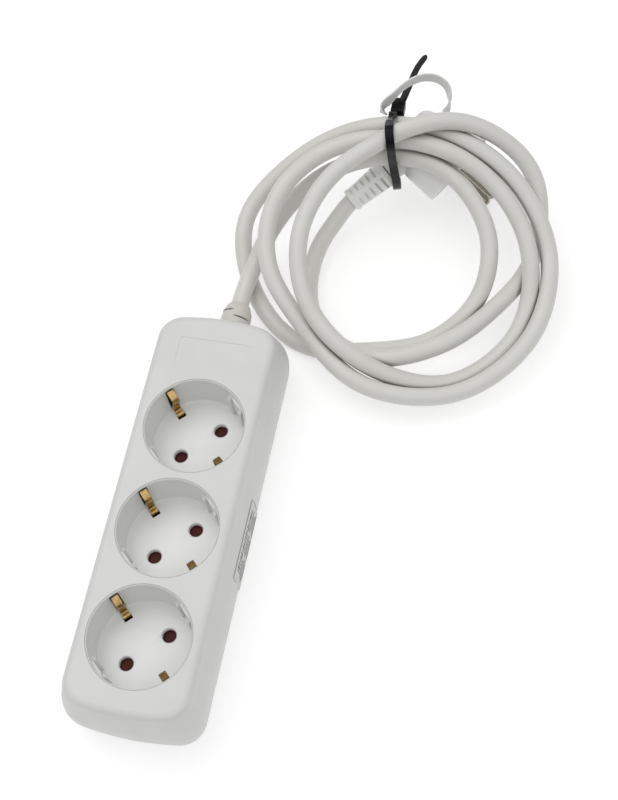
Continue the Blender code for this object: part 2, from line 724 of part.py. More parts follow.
def inner_wiring(paint):
    """The lead's end inside the housing and its three cores, which meet the ends of the busbars."""
    sheath_ends = [Vector((0, y, CORD_EXIT_HEIGHT)) for y in (CORE_START, GLAND_INNER_END - GAP)]
    tube("cord_inner_end", sheath_ends, CORD_RADIUS, paint["white_cord"], 4)
    start = CORE_START / MM - 0.6
    end = BAR_END / MM + 0.3
    bar = (BAR_BOTTOM + BAR_THICK / 2) / MM
    earth_bar = (EARTH_BAR_BOTTOM + BAR_THICK / 2) / MM
    leave = ((0, start, 14.4), (0, start - 2, 14.2), (0, 56, 11.4))
    routes = {"earth_wire": (*leave, (0, 54, earth_bar), (0, end, earth_bar))}
    for name, side in (("live_wire", 1), ("neutral_wire", -1)):
        bar_x = side * CONTACT_OFFSET / MM
        leave = ((side * 1.2, start, 12.2), (side * 2.2, start - 2, 11.4), (side * 5.7, 56, 6.4))
        routes[name] = (*leave, (bar_x, 54, bar), (bar_x, end, bar))
    for name, route in routes.items():
        tube(name, smooth_route(in_mm(*route), 12), CORE_RADIUS, paint[name])


# ---------------------------------------------------------------- lead and plug


def slit_cutters(places, reach, depth, width):
    """Boxes that cut slits across a sleeve about Z, at (height, angle of the slit's deepest point)."""
    bm = bmesh.new()
    for height, angle in places:
        middle = Matrix.Rotation(angle, 4, "Z") @ Matrix.Translation((reach - depth + reach / 2, 0, height))
        bmesh.ops.create_cube(bm, size=1, matrix=middle @ Matrix.Diagonal((reach, 3 * reach, width, 1)))
    return bm


def cord_gland(material):
    """Short boot that holds the lead in the housing's end wall, with two slits that let it bend."""
    profile = [
        (0, GLAND_TIP),
        (4.0 * MM, GLAND_TIP),
        (4.4 * MM, 99.6 * MM),
        (5.6 * MM, 97.2 * MM),
        (6.1 * MM, 96.4 * MM),
        (6.3 * MM, 93 * MM),
        (6.3 * MM, GLAND_INNER_END + 1.8 * MM),
        (8.2 * MM, GLAND_INNER_END + 1.8 * MM),
        (8.2 * MM, GLAND_INNER_END),
        (0, GLAND_INNER_END),
    ]
    gland = turned("cord_gland", profile, 24, material)
    gland.rotation_euler.x = -math.pi / 2
    gland.location.z = CORD_EXIT_HEIGHT
    slits = slit_cutters([(92.6 * MM, -0.3), (95.6 * MM, math.pi - 0.3)], 6.3 * MM, 3.2 * MM, 0.9 * MM)
    cut(gland, slits, parent=gland)


def lead_knots():
    """The lead's way: out of the gland, clockwise round the coil's turns, and into the plug."""
    knots = in_mm(*LEAD_OUT)
    places = [place for row in COIL_ROWS for place in row]
    for number, (radius, height) in enumerate(places):
        angle = math.pi - number * 2 * math.pi / TURN_STEPS
        knots.append(COIL_CENTRE + Vector((radius * math.cos(angle), radius * math.sin(angle), height)) * MM)
    return knots + in_mm(*LEAD_IN)


def lay_along_relief(obj):
    """Stands an object's Z axis on the sleeve's wide end, along the sleeve."""
    obj.location = RELIEF_WIDE
    obj.rotation_mode = "QUATERNION"
    obj.rotation_quaternion = (RELIEF_NARROW - RELIEF_WIDE).to_track_quat("Z", "Y")


def plug_body(material, frame):
    """Round front that fills a socket, a block behind it that turns the lead aside, and its grooves."""
    profile = [
        (0, 0),
        (PLUG_RADIUS - 0.6 * MM, 0),
        (PLUG_RADIUS, -0.6 * MM),
        (PLUG_RADIUS, -PLUG_DEPTH),
        (16.6 * MM, -17.5 * MM),
        (15 * MM, -19.6 * MM),
        (13 * MM, -21 * MM),
        (0, -21 * MM),
    ]
    body = turned("plug_body", profile, 36, material, parent=frame)
    body.rotation_euler.x = -math.pi / 2
    block = box((-10.6 * MM, -29.5 * MM, -10.4 * MM), (BLOCK_END, -10.5 * MM, 8.4 * MM))
    bmesh.ops.bevel(block, geom=block.edges, offset=5.5 * MM, segments=3, profile=0.5, affect="EDGES")
    join(body, block, parent=frame)
    neck_profile = [(0, -GAP), (5.3 * MM, -GAP), (5.3 * MM, -12 * MM), (0, -12 * MM)]
    neck = turned("neck", neck_profile, 20, collection="cutters", parent=frame)
    lay_along_relief(neck)
    join(body, neck, parent=frame)
    front = [(0, MM), (14.3 * MM, MM), (14.3 * MM, -3.3 * MM), (0, -3.3 * MM)]
    cut(body, turned("face_pocket", front, 24, collection="cutters"), parent=body)
    for side in (0, math.pi):
        notch_low = (15.5 * MM, -2.75 * MM, -14 * MM)
        notch = turned_box(notch_low, (19 * MM, 2.75 * MM, MM), [side - PLUG_PIN_ANGLE])
        cut(body, notch, parent=body)
        groove_low = (16 * MM, -2.5 * MM, -13.8 * MM)
        groove = turned_box(groove_low, (19 * MM, 2.5 * MM, MM), [side + PLUG_STRIP_ANGLE])
        cut(body, groove, parent=body)


def plug_face(paint, frame):
    """Bridge in the plug's face with its two pins, and the two earth strips in the grooves."""
    bridge_profile = [(0, -0.2 * MM), (14 * MM, -0.2 * MM), (14 * MM, -3 * MM), (0, -3 * MM)]
    bridge = turned("plug_bridge", bridge_profile, 24, paint["white_plug"], parent=frame)
    bridge.rotation_euler.x = -math.pi / 2
    pins = around(PIN_REACH, -PLUG_PIN_ANGLE, math.pi - PLUG_PIN_ANGLE)
    cut(bridge, rod(PLUG_PIN_RADIUS + GAP, -2 * MM, MM, pins), parent=bridge)
    cut(bridge, rod(2.6 * MM, -4 * MM, MM, around(8 * MM, PLUG_STRIP_ANGLE)), parent=bridge)
    pin_profile = [
        (0, PLUG_PIN_LENGTH),
        (PLUG_PIN_RADIUS - 1.1 * MM, PLUG_PIN_LENGTH - 0.2 * MM),
        (PLUG_PIN_RADIUS - 0.3 * MM, PLUG_PIN_LENGTH - 1.1 * MM),
        (PLUG_PIN_RADIUS, PLUG_PIN_LENGTH - 2.4 * MM),
        (PLUG_PIN_RADIUS, -1.7 * MM),
        (0, -1.7 * MM),
    ]
    strip_low = (16.35 * MM, -2 * MM, -13.4 * MM)
    strip_high = (17.15 * MM, 2 * MM, -0.5 * MM)
    for number, side in enumerate((0, math.pi), 1):
        x, y = around(PIN_REACH, side - PLUG_PIN_ANGLE)[0]
        pin = turned(f"plug_pin_{number}", pin_profile, 16, paint["nickel"], parent=frame)
        pin.rotation_euler.x = -math.pi / 2
        pin.location = (x, 0, -y)
        strip = turned_box(strip_low, strip_high, [side + PLUG_STRIP_ANGLE])
        bmesh.ops.rotate(strip, matrix=Matrix.Rotation(-math.pi / 2, 3, "X"), verts=strip.verts)
        add_part(f"plug_earth_strip_{number}", strip, paint["nickel"], parent=frame)


def plug_strain_relief(material, frame):
    """Tapered sleeve on the lead beside the plug, slit from both sides so that it bends."""
    length = (RELIEF_NARROW - RELIEF_WIDE).length
    profile = [
        (0, length),
        (4.9 * MM, length),
        (5.2 * MM, length - 0.4 * MM),
        (5.2 * MM, length - 1.6 * MM),
        (5.8 * MM, 4 * MM),
        (6.4 * MM, 3.2 * MM),
        (6.4 * MM, 0),
        (0, 0),
    ]
    sleeve = turned("plug_strain_relief", profile, 20, material, parent=frame)
    lay_along_relief(sleeve)
    places = [((6 + 3.3 * number) * MM, math.pi * (number % 2)) for number in range(5)]
    cut(sleeve, slit_cutters(places, 6 * MM, 4.2 * MM, 1.3 * MM), parent=sleeve)


def plug(paint):
    """The plug's pieces, all placed from the middle of its face."""
    frame = add_object("plug_frame", None)
    frame.location = PLUG_FACE
    frame.rotation_euler = PLUG_TILT
    plug_body(paint["white_plug"], frame)
    plug_face(paint, frame)
    plug_strain_relief(paint["white_plug"], frame)


def cable_tie(material):
    """Strap round the gathered turns and the plug's sleeve, with its head and its bent tail."""
    loop = in_mm(
        (51, 187, 37),
        (51.3, 186.3, 42.5),
        (52.3, 180, 47),
        (52.5, 173.2, 52.8),
        (53.5, 167.3, 55.3),
        (54.5, 163.8, 51.8),
        (54.8, 163.6, 44),
        (55, 164.4, 36),
        (55.6, 164.6, 28),
        (56, 165, 21.5),
        (55.8, 166, 17),
        (55.2, 169.2, 12.4),
        (54, 174, 10.8),
        (51.6, 180, 10.8),
        (48.4, 186.4, 15.4),
        (48.6, 188, 24),
        (50, 188, 31),
    )
    across = Vector((1, 0.25, 0))
    strap = ribbon(smooth_route(loop + loop[:1], 43)[:-1], TIE_WIDTH, TIE_THICK, across, closed=True)
    tie = add_part("cable_tie", strap, material)
    head = box((50 * MM, 186.6 * MM, 38.6 * MM), (55.8 * MM, 192.4 * MM, 43.4 * MM))
    bmesh.ops.bevel(head, geom=head.edges, offset=0.6 * MM, segments=2, profile=0.5, affect="EDGES")
    join(tie, head)
    tail = in_mm(
        (53.2, 189.6, 41.6),
        (55.3, 197, 43.6),
        (56.5, 202.2, 44.7),
        (57.9, 207.4, 46.2),
        (61.2, 213.2, 48.3),
    )
    join(tie, ribbon(smooth_route(tail, 12), TIE_WIDTH, TIE_THICK, Vector((1, -0.3, 0.1))))


def band_loop(material):
    """Flat band that was tucked under the tie and stands up in an open loop."""
    path = in_mm(
        (72.5, 194, 37),
        (73.4, 197.6, 43),
        (71.5, 200.3, 46.5),
        (67.5, 201.7, 48.2),
        (63.3, 201.2, 49.2),
        (56, 196.7, 49.4),
        (50.6, 191, 47.2),
        (47.1, 188.6, 42.8),
        (46.9, 187.4, 39.5),
    )
    across = Vector((0.1, 0.2, 1))
    add_part("band_loop", ribbon(smooth_route(path, 18), BAND_WIDTH, BAND_THICK, across), material)


def main():
    clear_scene()
    paint = {
        "white_shell": make_material("white_shell", (0.72, 0.72, 0.7), 0.45),
        "white_insert": make_material("white_insert", (0.76, 0.78, 0.78), 0.4),
        "white_cord": make_material("white_cord", (0.7, 0.69, 0.66), 0.5),
        "white_plug": make_material("white_plug", (0.74, 0.74, 0.72), 0.42),
        "beige_gland": make_material("beige_gland", (0.55, 0.52, 0.46), 0.55),
        "grey_inner": make_material("grey_inner", (0.35, 0.35, 0.36), 0.6),
        "maroon_shutter": make_material("maroon_shutter", (0.09, 0.02, 0.02), 0.4),
        "brass": make_material("brass", (0.6, 0.42, 0.16), 0.3, 1.0),
        "nickel": make_material("nickel", (0.6, 0.59, 0.56), 0.25, 1.0),
        "steel": make_material("steel", (0.45, 0.45, 0.45), 0.35, 1.0),
        "black_tie": make_material("black_tie", (0.01, 0.01, 0.01), 0.25),
        "white_band": make_material("white_band", (0.75, 0.75, 0.74), 0.5),
        "paper_label": make_material("paper_label", (0.66, 0.66, 0.65), 0.5),
        "live_wire": make_material("live_wire", (0.16, 0.06, 0.02), 0.5),
        "neutral_wire": make_material("neutral_wire", (0.02, 0.08, 0.35), 0.5),
        "earth_wire": make_material("earth_wire", (0.25, 0.35, 0.03), 0.5),
    }
    top_housing(paint["white_shell"])
    rating_label(paint["paper_label"])
    bottom_cover(paint["white_shell"])
    screws(paint["steel"])
    cord_clamp(paint["grey_inner"])
    sockets(paint)
    busbars(paint["brass"])
    pin_contacts(paint["brass"])
    inner_wiring(paint)
    cord_gland(paint["beige_gland"])
    tube("mains_cord", smooth_route(lead_knots(), 80), CORD_RADIUS, paint["white_cord"], 3)
    plug(paint)
    cable_tie(paint["black_tie"])
    band_loop(paint["white_band"])


main()
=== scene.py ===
"""Looks of the three-way earthed power strip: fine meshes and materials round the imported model.

Metres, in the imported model's frame. X runs across the strip, +Y towards the lead, +Z up.
"""

import json
import math

import bmesh
import bpy
import numpy as np
from mathutils import Euler, Matrix, Vector


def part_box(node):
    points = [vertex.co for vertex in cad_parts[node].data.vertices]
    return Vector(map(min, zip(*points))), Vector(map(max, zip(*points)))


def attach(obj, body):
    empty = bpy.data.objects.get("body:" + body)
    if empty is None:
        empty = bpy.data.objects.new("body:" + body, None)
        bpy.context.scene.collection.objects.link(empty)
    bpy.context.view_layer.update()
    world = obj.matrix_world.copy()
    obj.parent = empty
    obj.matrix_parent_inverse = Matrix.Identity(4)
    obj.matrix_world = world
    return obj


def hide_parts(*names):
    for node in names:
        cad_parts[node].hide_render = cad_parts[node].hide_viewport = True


MM = 0.001
GAP = 0.3 * MM
MAIN_BODY = "housing"

# Housing
CORNER_RADIUS = 10 * MM
END_BOW = 3 * MM
# Heights up the wall, and how far it stands out there from the nominal plan, in millimetres
WALL_BULGE = ((0, -0.3), (8, 1.7), (16, 2.3), (23, 1.7), (32.8, -0.7))
TOP_ROUND = 3.2 * MM
BOTTOM_ROUND = 2.2 * MM
WALL = 2.8 * MM
DECK = 2.5 * MM
NAME_PANEL = ((-14.5 * MM, 60 * MM), (14.5 * MM, 71 * MM))
NAME_PANEL_DEPTH = 0.12 * MM
DECK_HOLE_EASING = 0.12 * MM
SEAM = 0.05 * MM  # between a well's rim and the deck
GLAND_HEIGHT = 13 * MM
CORD_HOLE_RADIUS = 6.7 * MM
END_WALL = (78 * MM, 86 * MM)  # the cord hole's cutter reaches past both its faces
LABEL_ROOM = 0.4 * MM
LABEL_STROKES = 19
LABEL_STROKE_PITCH = 1.35 * MM
LABEL_BAR_ROWS = 4
LABEL_BAR_COLUMNS = 3
SIDEWAYS = Matrix(((0, 0, 1, 0), (1, 0, 0, 0), (0, 1, 0, 0), (0, 0, 0, 1)))  # X and Y to Y and Z
ALONG_Y = Matrix.Rotation(-math.pi / 2, 4, "X")  # Z to Y

# Sockets: a plug's pins lie on a line at PIN_ANGLE, and the earth clips across it
PIN_ANGLE = math.radians(45)
PIN_REACH = 9.5 * MM
PIN_HOLE_RADIUS = 2.75 * MM
CLIP_ANGLES = {"upper": math.radians(135), "lower": math.radians(-45)}
INSERT_RADIUS = 20 * MM
INSERT_SKIRT_RADIUS = 20.5 * MM
INSERT_FLANGE_RADIUS = 21.1 * MM
WELL_RADIUS = 19.5 * MM
WELL_FOOT_RADIUS = 19.2 * MM
WELL_FLOOR = 18.5 * MM
WELL_UNDERSIDE = 16 * MM
WELL_RIM_EASING = 0.6 * MM
PIN_HOLE_FLARE = 0.55 * MM
LUG_PROUD = 2 * MM
LUG_SPREAD = 7.8 * MM
LUG_WIDTH = 1.8 * MM
CLIP_SECTION = (3.0 * MM, 0.5 * MM)
# Distance from the socket's centre and height of each of a clip's bends, in millimetres
CLIP_BENDS = (
    (19, 34.3),
    (17.3, 33.5),
    (15.6, 32.4),
    (15.0, 31.3),
    (15.6, 29),
    (17.6, 24),
    (18, 19.1),
    (15, 19.1),
    (15, 10.75),
)

# Lead: its exit, its radius and its way, as in the model that the frame was packed from
CORD_RADIUS = 3.7 * MM
COIL_CENTRE = Vector((58, 142.75, 0)) * MM
TURN_STEPS = 12
LEAD_OUT = ((0, 96.5, 13), (0, 100.7, 13), (0.2, 106, 13.1), (0.9, 112.2, 13.3))
LEAD_IN = ((31.6, 151, 8.8), (35.6, 158.6, 11.7), (39.2, 161.8, 13.6))
# Two rows for each turn: the lead's distance from the coil's centre and its height, in millimetres.
COIL_ROWS = (
    ((48, 21), (37, 28), (30, 32), (27, 35), (29, 35), (33, 32)),
    ((41, 24), (47, 14), (48, 5), (50, 4), (60, 4), (63, 5)),
    ((65, 13), (55, 22), (44, 35), (39, 41), (41, 42), (52, 34)),
    ((66, 20), (75, 14), (77, 10), (72, 16), (58, 20), (55, 27)),
    ((49, 34), (40, 39), (33, 42), (30, 43), (33, 42), (43, 35)),
    ((57, 24), (68, 9), (70, 6), (64, 19), (53, 29), (40, 38)),
    ((30, 43), (25, 46), (24, 48), (29, 51), (45, 48), (63, 29)),
    ((60, 12), (55, 14), (57, 16), (58, 13), (50, 9), (38, 5)),
    ((31, 6),),
)
CORD_POINTS = 760

# Gland: distances along the lead's exit
GLAND_INNER_END = 77.6 * MM
GLAND_FLANGE_RADIUS = 8.2 * MM
GLAND_FLANGE_END = GLAND_INNER_END + 1.8 * MM
GLAND_RADIUS = 6.3 * MM
GLAND_TIP = 100.05 * MM
GLAND_SLITS = ((92.4 * MM, -0.95), (95.4 * MM, -2.3))  # where along the boot, and turned how far
GLAND_SLIT_BOTTOM = 4.9 * MM
SLEEVE_CLEARANCE = 0.08 * MM  # round the lead, in the gland and in the plug's sleeve
SLEEVE_HOLD = 6 * MM

# Plug: its own axes are X towards the lead, +Y along the pins, Z up, from the middle of its face
PLUG_FACE = Vector((80.9, 178.5, 16.9)) * MM
PLUG_TILT = Euler([math.radians(angle) for angle in (-21.7, 15, -125)])
PLUG_FRAME = Matrix.LocRotScale(PLUG_FACE, PLUG_TILT, None)
PLUG_PIN_ANGLE = math.radians(68)
PLUG_STRIP_ANGLE = math.pi / 2 - PLUG_PIN_ANGLE
PLUG_RADIUS = 17.2 * MM
PLUG_DEPTH = 15 * MM
PLUG_BLOCK = ((-10.6 * MM, -29.5 * MM, -10.4 * MM), (13.9 * MM, -10.5 * MM, 8.4 * MM))
PLUG_BLOCK_EASING = 5.5 * MM
PLUG_POCKET_RADIUS = 14.3 * MM
PLUG_BRIDGE_RADIUS = 14 * MM
PLUG_PIN_RADIUS = 2.4 * MM
PLUG_PIN_LENGTH = 19 * MM
RELIEF_WIDE = Vector((21.4, -22.6, 0.2)) * MM
RELIEF_NARROW = Vector((40.8, -25.8, -3.7)) * MM
RELIEF_RADIUS = 6.4 * MM
RELIEF_TIP_RADIUS = 5.2 * MM
RELIEF_ROW_ANGLE = math.radians(45)
RELIEF_SLITS = 5
RELIEF_SLIT_PITCH = 3.1 * MM

# Tie and band: the ways they take, in millimetres
TIE_WIDTH = 3.6 * MM
TIE_THICK = 1.1 * MM
TIE_LOOP = (
    (51, 187, 37),
    (51.3, 186.3, 42.5),
    (52.3, 180, 47),
    (52.5, 173.2, 52.8),
    (53.5, 167.3, 55.3),
    (54.5, 163.8, 51.8),
    (54.8, 163.6, 44),
    (55, 164.4, 36),
    (55.6, 164.6, 28),
    (56, 165, 21.5),
    (55.8, 166, 17),
    (55.2, 169.2, 12.4),
    (54, 174, 10.8),
    (51.6, 180, 10.8),
    (48.4, 186.4, 15.4),
    (48.6, 188, 24),
    (50, 188, 31),
)
TIE_TAIL = (
    (53.2, 189.6, 41.6),
    (55.3, 197, 43.6),
    (56.5, 202.2, 44.7),
    (57.9, 207.4, 46.2),
    (61.2, 213.2, 48.3),
)
BAND_WIDTH = 4.2 * MM
BAND_THICK = 0.9 * MM
BAND_PATH = (
    (72.5, 194, 37),
    (73.4, 197.6, 43),
    (71.5, 200.3, 46.5),
    (67.5, 201.7, 48.2),
    (63.3, 201.2, 49.2),
    (56, 196.7, 49.4),
    (50.6, 191, 47.2),
    (47.1, 188.6, 42.8),
    (46.9, 187.4, 39.5),
)

# Camera and stage
CAMERA_PLACE = (0.13427, -0.17713, 0.53798)
CAMERA_TURN = (25.70, 4.99, 11.69)
CAMERA_LENS = 64.67
SENSOR = 36
FLOOR_SIZE = 6
FLOOR_DROP = 0.2 * MM
FLOOR_GLOW = 0.5
HORIZON_LIGHT = 0.1
ZENITH_LIGHT = 0.95
KEY_POWER = 2.2
FILL_POWER = 0.7
SOFTBOX_SIZE = 0.7
SOFTBOX_TARGET = Vector((0.03, 0.05, 0.02))

# Angles between faces: above them an edge stays sharp, or is eased
SMOOTH_LIMIT = math.radians(34)
EASED_SMOOTH_LIMIT = math.radians(60)
EASED_ANGLE = math.radians(50)


# ---------------------------------------------------------------- materials


class Shading:
    """Node tree of one Principled material, with short ways to add what it needs."""

    def __init__(self, name, colour, roughness, metallic=0.0):
        self.material = bpy.data.materials.new(name)
        self.material.use_nodes = True
        self.nodes = self.material.node_tree.nodes
        self.links = self.material.node_tree.links
        self.shader = self.nodes["Principled BSDF"]
        self.shader.inputs["Base Color"].default_value = (*colour, 1)
        self.shader.inputs["Roughness"].default_value = roughness
        self.shader.inputs["Metallic"].default_value = metallic
        self.place = self.nodes.new("ShaderNodeTexCoord").outputs["Object"]
        self.colour = None
        self.normal = None

    def set(self, **values):
        """Sets sockets of the shader that are the same all over."""
        for name, value in values.items():
            self.shader.inputs[name.replace("_", " ")].default_value = value

    def noise(self, size, detail=3, stretch=(1, 1, 1)):
        """Noise whose blotches are about this size in metres."""
        mapping = self.nodes.new("ShaderNodeMapping")
        mapping.inputs["Scale"].default_value = [1 / factor for factor in stretch]
        self.links.new(self.place, mapping.inputs["Vector"])
        texture = self.nodes.new("ShaderNodeTexNoise")
        texture.inputs["Scale"].default_value = 1 / size
        texture.inputs["Detail"].default_value = detail
        self.links.new(mapping.outputs["Vector"], texture.inputs["Vector"])
        return texture.outputs["Fac"]

    def ranged(self, value, low, high, to_low, to_high):
        """The value with one range stretched to another, and held at its ends."""
        node = self.nodes.new("ShaderNodeMapRange")
        limits = {"From Min": low, "From Max": high, "To Min": to_low, "To Max": to_high}
        for name, number in limits.items():
            node.inputs[name].default_value = number
        self.links.new(value, node.inputs["Value"])
        return node.outputs["Result"]

    def tint(self, amount, colour):
        """Blends a colour over what is there, by an amount that varies over the surface."""
        mix = self.nodes.new("ShaderNodeMix")
        mix.data_type = "RGBA"
        below = mix.inputs[6]
        below.default_value = self.shader.inputs["Base Color"].default_value
        if self.colour:
            self.links.new(self.colour, below)
        mix.inputs[7].default_value = (*colour, 1)
        self.links.new(amount, mix.inputs[0])
        self.colour = mix.outputs[2]
        self.links.new(self.colour, self.shader.inputs["Base Color"])

    def roughen(self, value, low, high):
        """Roughness from low to high as the value goes through its middle range."""
        self.links.new(self.ranged(value, 0.3, 0.7, low, high), self.shader.inputs["Roughness"])

    def bump(self, value, height, strength=1.0):
        """Raises the surface by up to this height in metres, on top of any bump before it."""
        node = self.nodes.new("ShaderNodeBump")
        node.inputs["Strength"].default_value = strength
        node.inputs["Distance"].default_value = height
        self.links.new(value, node.inputs["Height"])
        if self.normal:
            self.links.new(self.normal, node.inputs["Normal"])
        self.normal = node.outputs["Normal"]
        self.links.new(self.normal, self.shader.inputs["Normal"])

    def painted_crease_shade(self, distance, low, high, colour, most=0.5):
        """Painted shade: darkens places that neighbours crowd, where shade falls."""
        node = self.nodes.new("ShaderNodeAmbientOcclusion")
        node.inputs["Distance"].default_value = distance
        node.samples = 6
        self.tint(self.ranged(node.outputs["AO"], low, high, most, 0.0), colour)

    def edges(self, colour):
        """Lightens rubbed edges."""
        geometry = self.nodes.new("ShaderNodeNewGeometry")
        rubbed = self.ranged(geometry.outputs["Pointiness"], 0.53, 0.62, 0.0, 0.6)
        self.tint(rubbed, colour)


def moulded_plastic(name, colour, shade, roughness, grain=0.5 * MM, depth=0.012 * MM, specular=0.5):
    """Moulded thermoplastic: fine spark-eroded grain, faint flow clouds, a little soiling, and painted
    shade in its creases and corners.
    """
    made = Shading(name, colour, roughness)
    made.set(IOR=1.49, Specular_IOR_Level=specular)
    made.tint(made.ranged(made.noise(38 * MM, 4), 0.42, 0.72, 0.0, 0.5), shade)
    made.tint(made.ranged(made.noise(1.6 * MM, 6), 0.66, 0.78, 0.0, 0.35), shade)
    # painted shade in creases and corners, in a darker tone of the plastic
    made.painted_crease_shade(1.5 * MM, 0.1, 0.55, [value * 0.45 for value in shade], 0.6)
    made.roughen(made.noise(7 * MM, 5), roughness - 0.06, roughness + 0.08)
    made.bump(made.noise(grain, 2), depth, 0.5)
    made.bump(made.noise(14 * MM, 2), 0.05 * MM, 0.25)
    return made.material


def cord_plastic():
    """Soft PVC sheath: satin, drawn along its length, with faint grey soiling, small scuffs, and painted
    shadow where the turns crowd each other.
    """
    made = Shading("cord_sheath", (0.64, 0.635, 0.605), 0.42)
    made.set(IOR=1.52)
    made.tint(made.ranged(made.noise(26 * MM, 5), 0.42, 0.7, 0.0, 0.7), (0.60, 0.585, 0.545))
    made.tint(made.ranged(made.noise(2.4 * MM, 6), 0.66, 0.8, 0.0, 0.5), (0.47, 0.45, 0.41))
    # painted shadow in the gaps where the turns touch and crowd each other
    made.painted_crease_shade(3 * MM, 0.05, 0.65, (0.15, 0.12, 0.09), 0.8)
    made.roughen(made.noise(5 * MM, 5), 0.34, 0.52)
    made.bump(made.noise(0.5 * MM, 2), 0.015 * MM, 0.5)
    made.bump(made.noise(9 * MM, 3), 0.12 * MM, 0.3)
    return made.material


def bent_brass():
    """Spring brass: rolled lengthwise, brighter and smoother where plugs have rubbed it, with painted shade
    where neighbours crowd it.
    """
    made = Shading("brass", (0.42, 0.28, 0.115), 0.24, 1.0)
    made.tint(made.ranged(made.noise(2.5 * MM, 5), 0.45, 0.75, 0.0, 0.8), (0.2, 0.12, 0.045))
    made.tint(made.ranged(made.noise(0.6 * MM, 4, (1, 1, 6)), 0.5, 0.8, 0.0, 0.5), (0.8, 0.62, 0.34))
    # painted shade where neighbours crowd the clip
    made.painted_crease_shade(2.5 * MM, 0.3, 0.95, (0.07, 0.04, 0.015), 0.85)
    made.roughen(made.noise(1.2 * MM, 4, (1, 1, 5)), 0.14, 0.36)
    made.bump(made.noise(0.18 * MM, 2, (1, 1, 14)), 0.006 * MM, 0.6)
    return made.material


def plated_metal(name, colour, roughness):
    """Plated pin or screw: dull patches, and a surface that is not quite even."""
    made = Shading(name, colour, roughness, 1.0)
    made.tint(made.ranged(made.noise(3 * MM, 3), 0.5, 0.78, 0.0, 0.5), [value * 0.7 for value in colour])
    made.roughen(made.noise(1.5 * MM, 3), roughness - 0.06, roughness + 0.1)
    made.bump(made.noise(1.2 * MM, 2), 0.01 * MM, 0.3)
    return made.material


def tie_nylon():
    """Glossy black nylon with faint flow lines and pale scuffs on its edges."""
    made = Shading("tie_nylon", (0.003, 0.003, 0.0033), 0.2)
    made.set(IOR=1.5, Specular_IOR_Level=0.16)
    made.tint(made.ranged(made.noise(1.2 * MM, 5), 0.62, 0.8, 0.0, 0.35), (0.02, 0.02, 0.021))
    made.edges((0.02, 0.02, 0.021))
    made.roughen(made.noise(2 * MM, 4), 0.14, 0.34)
    made.bump(made.noise(0.3 * MM, 2, (1, 4, 4)), 0.01 * MM, 0.5)
    return made.material


def label_paper():
    """Satin paper sticker with a fibrous surface, and painted shade where neighbours crowd it."""
    made = Shading("label_paper", (0.62, 0.615, 0.6), 0.55)
    made.tint(made.ranged(made.noise(0.7 * MM, 6), 0.4, 0.75, 0.0, 0.5), (0.54, 0.53, 0.51))
    # painted shade near its edges, where neighbours crowd it
    made.painted_crease_shade(0.8 * MM, 0.1, 0.8, (0.4, 0.38, 0.35))
    made.roughen(made.noise(0.9 * MM, 4), 0.5, 0.66)
    made.bump(made.noise(0.12 * MM, 3, (1, 3, 1)), 0.008 * MM, 0.6)
    return made.material


def label_ink():
    """Worn grey printing ink."""
    made = Shading("label_ink", (0.1, 0.1, 0.105), 0.5)
    made.tint(made.ranged(made.noise(0.35 * MM, 5), 0.5, 0.75, 0.0, 0.7), (0.32, 0.32, 0.32))
    made.roughen(made.noise(0.5 * MM, 4), 0.42, 0.6)
    made.bump(made.noise(0.15 * MM, 2), 0.004 * MM, 0.5)
    return made.material


def floor_paper():
    """Plain white background paper."""
    made = Shading("floor_paper", (0.6, 0.6, 0.6), 0.7)
    made.set(Emission_Color=(1, 1, 1, 1), Emission_Strength=FLOOR_GLOW, Specular_IOR_Level=0.1)
    made.tint(made.ranged(made.noise(0.4, 2), 0.4, 0.7, 0.0, 0.3), (0.595, 0.595, 0.595))
    made.roughen(made.noise(0.05, 3), 0.65, 0.75)
    return made.material


def make_paint():
    """Every material, by the name of the record's slot that it finishes."""
    plastics = {
        "shell": ((0.645, 0.648, 0.635), (0.6, 0.595, 0.58), 0.42),
        "insert": ((0.765, 0.768, 0.755), (0.715, 0.715, 0.695), 0.36),
        "inner_plastic": ((0.33, 0.33, 0.335), (0.26, 0.26, 0.26), 0.5),
        "gland": ((0.59, 0.575, 0.53), (0.52, 0.5, 0.45), 0.5),
        "plug": ((0.79, 0.79, 0.77), (0.74, 0.735, 0.71), 0.38),
        "band": ((0.70, 0.70, 0.69), (0.63, 0.62, 0.6), 0.4),
        "live_wire": ((0.14, 0.05, 0.02), (0.1, 0.04, 0.02), 0.4),
        "neutral_wire": ((0.02, 0.07, 0.32), (0.02, 0.05, 0.24), 0.4),
        "earth_wire": ((0.3, 0.4, 0.03), (0.5, 0.45, 0.03), 0.4),
    }
    paint = {slot: moulded_plastic(f"{slot}_plastic", *finish) for slot, finish in plastics.items()}
    dull_red = ((0.075, 0.014, 0.011), (0.03, 0.007, 0.006), 0.4)
    paint["shutter"] = moulded_plastic("shutter_plastic", *dull_red, specular=0.1)
    paint["cord"] = cord_plastic()
    paint["brass"] = bent_brass()
    paint["nickel"] = plated_metal("nickel_plate", (0.36, 0.33, 0.28), 0.2)
    paint["steel"] = plated_metal("zinc_plate", (0.5, 0.5, 0.5), 0.36)
    paint["tie"] = tie_nylon()
    paint["label"] = label_paper()
    return paint


# ---------------------------------------------------------------- shapes


def object_from(bm, name):
    """Turns a bmesh into an object at the origin."""
    mesh = bpy.data.meshes.new(name)
    bm.to_mesh(mesh)
    bm.free()
    obj = bpy.data.objects.new(name, mesh)
    bpy.context.scene.collection.objects.link(obj)
    return obj


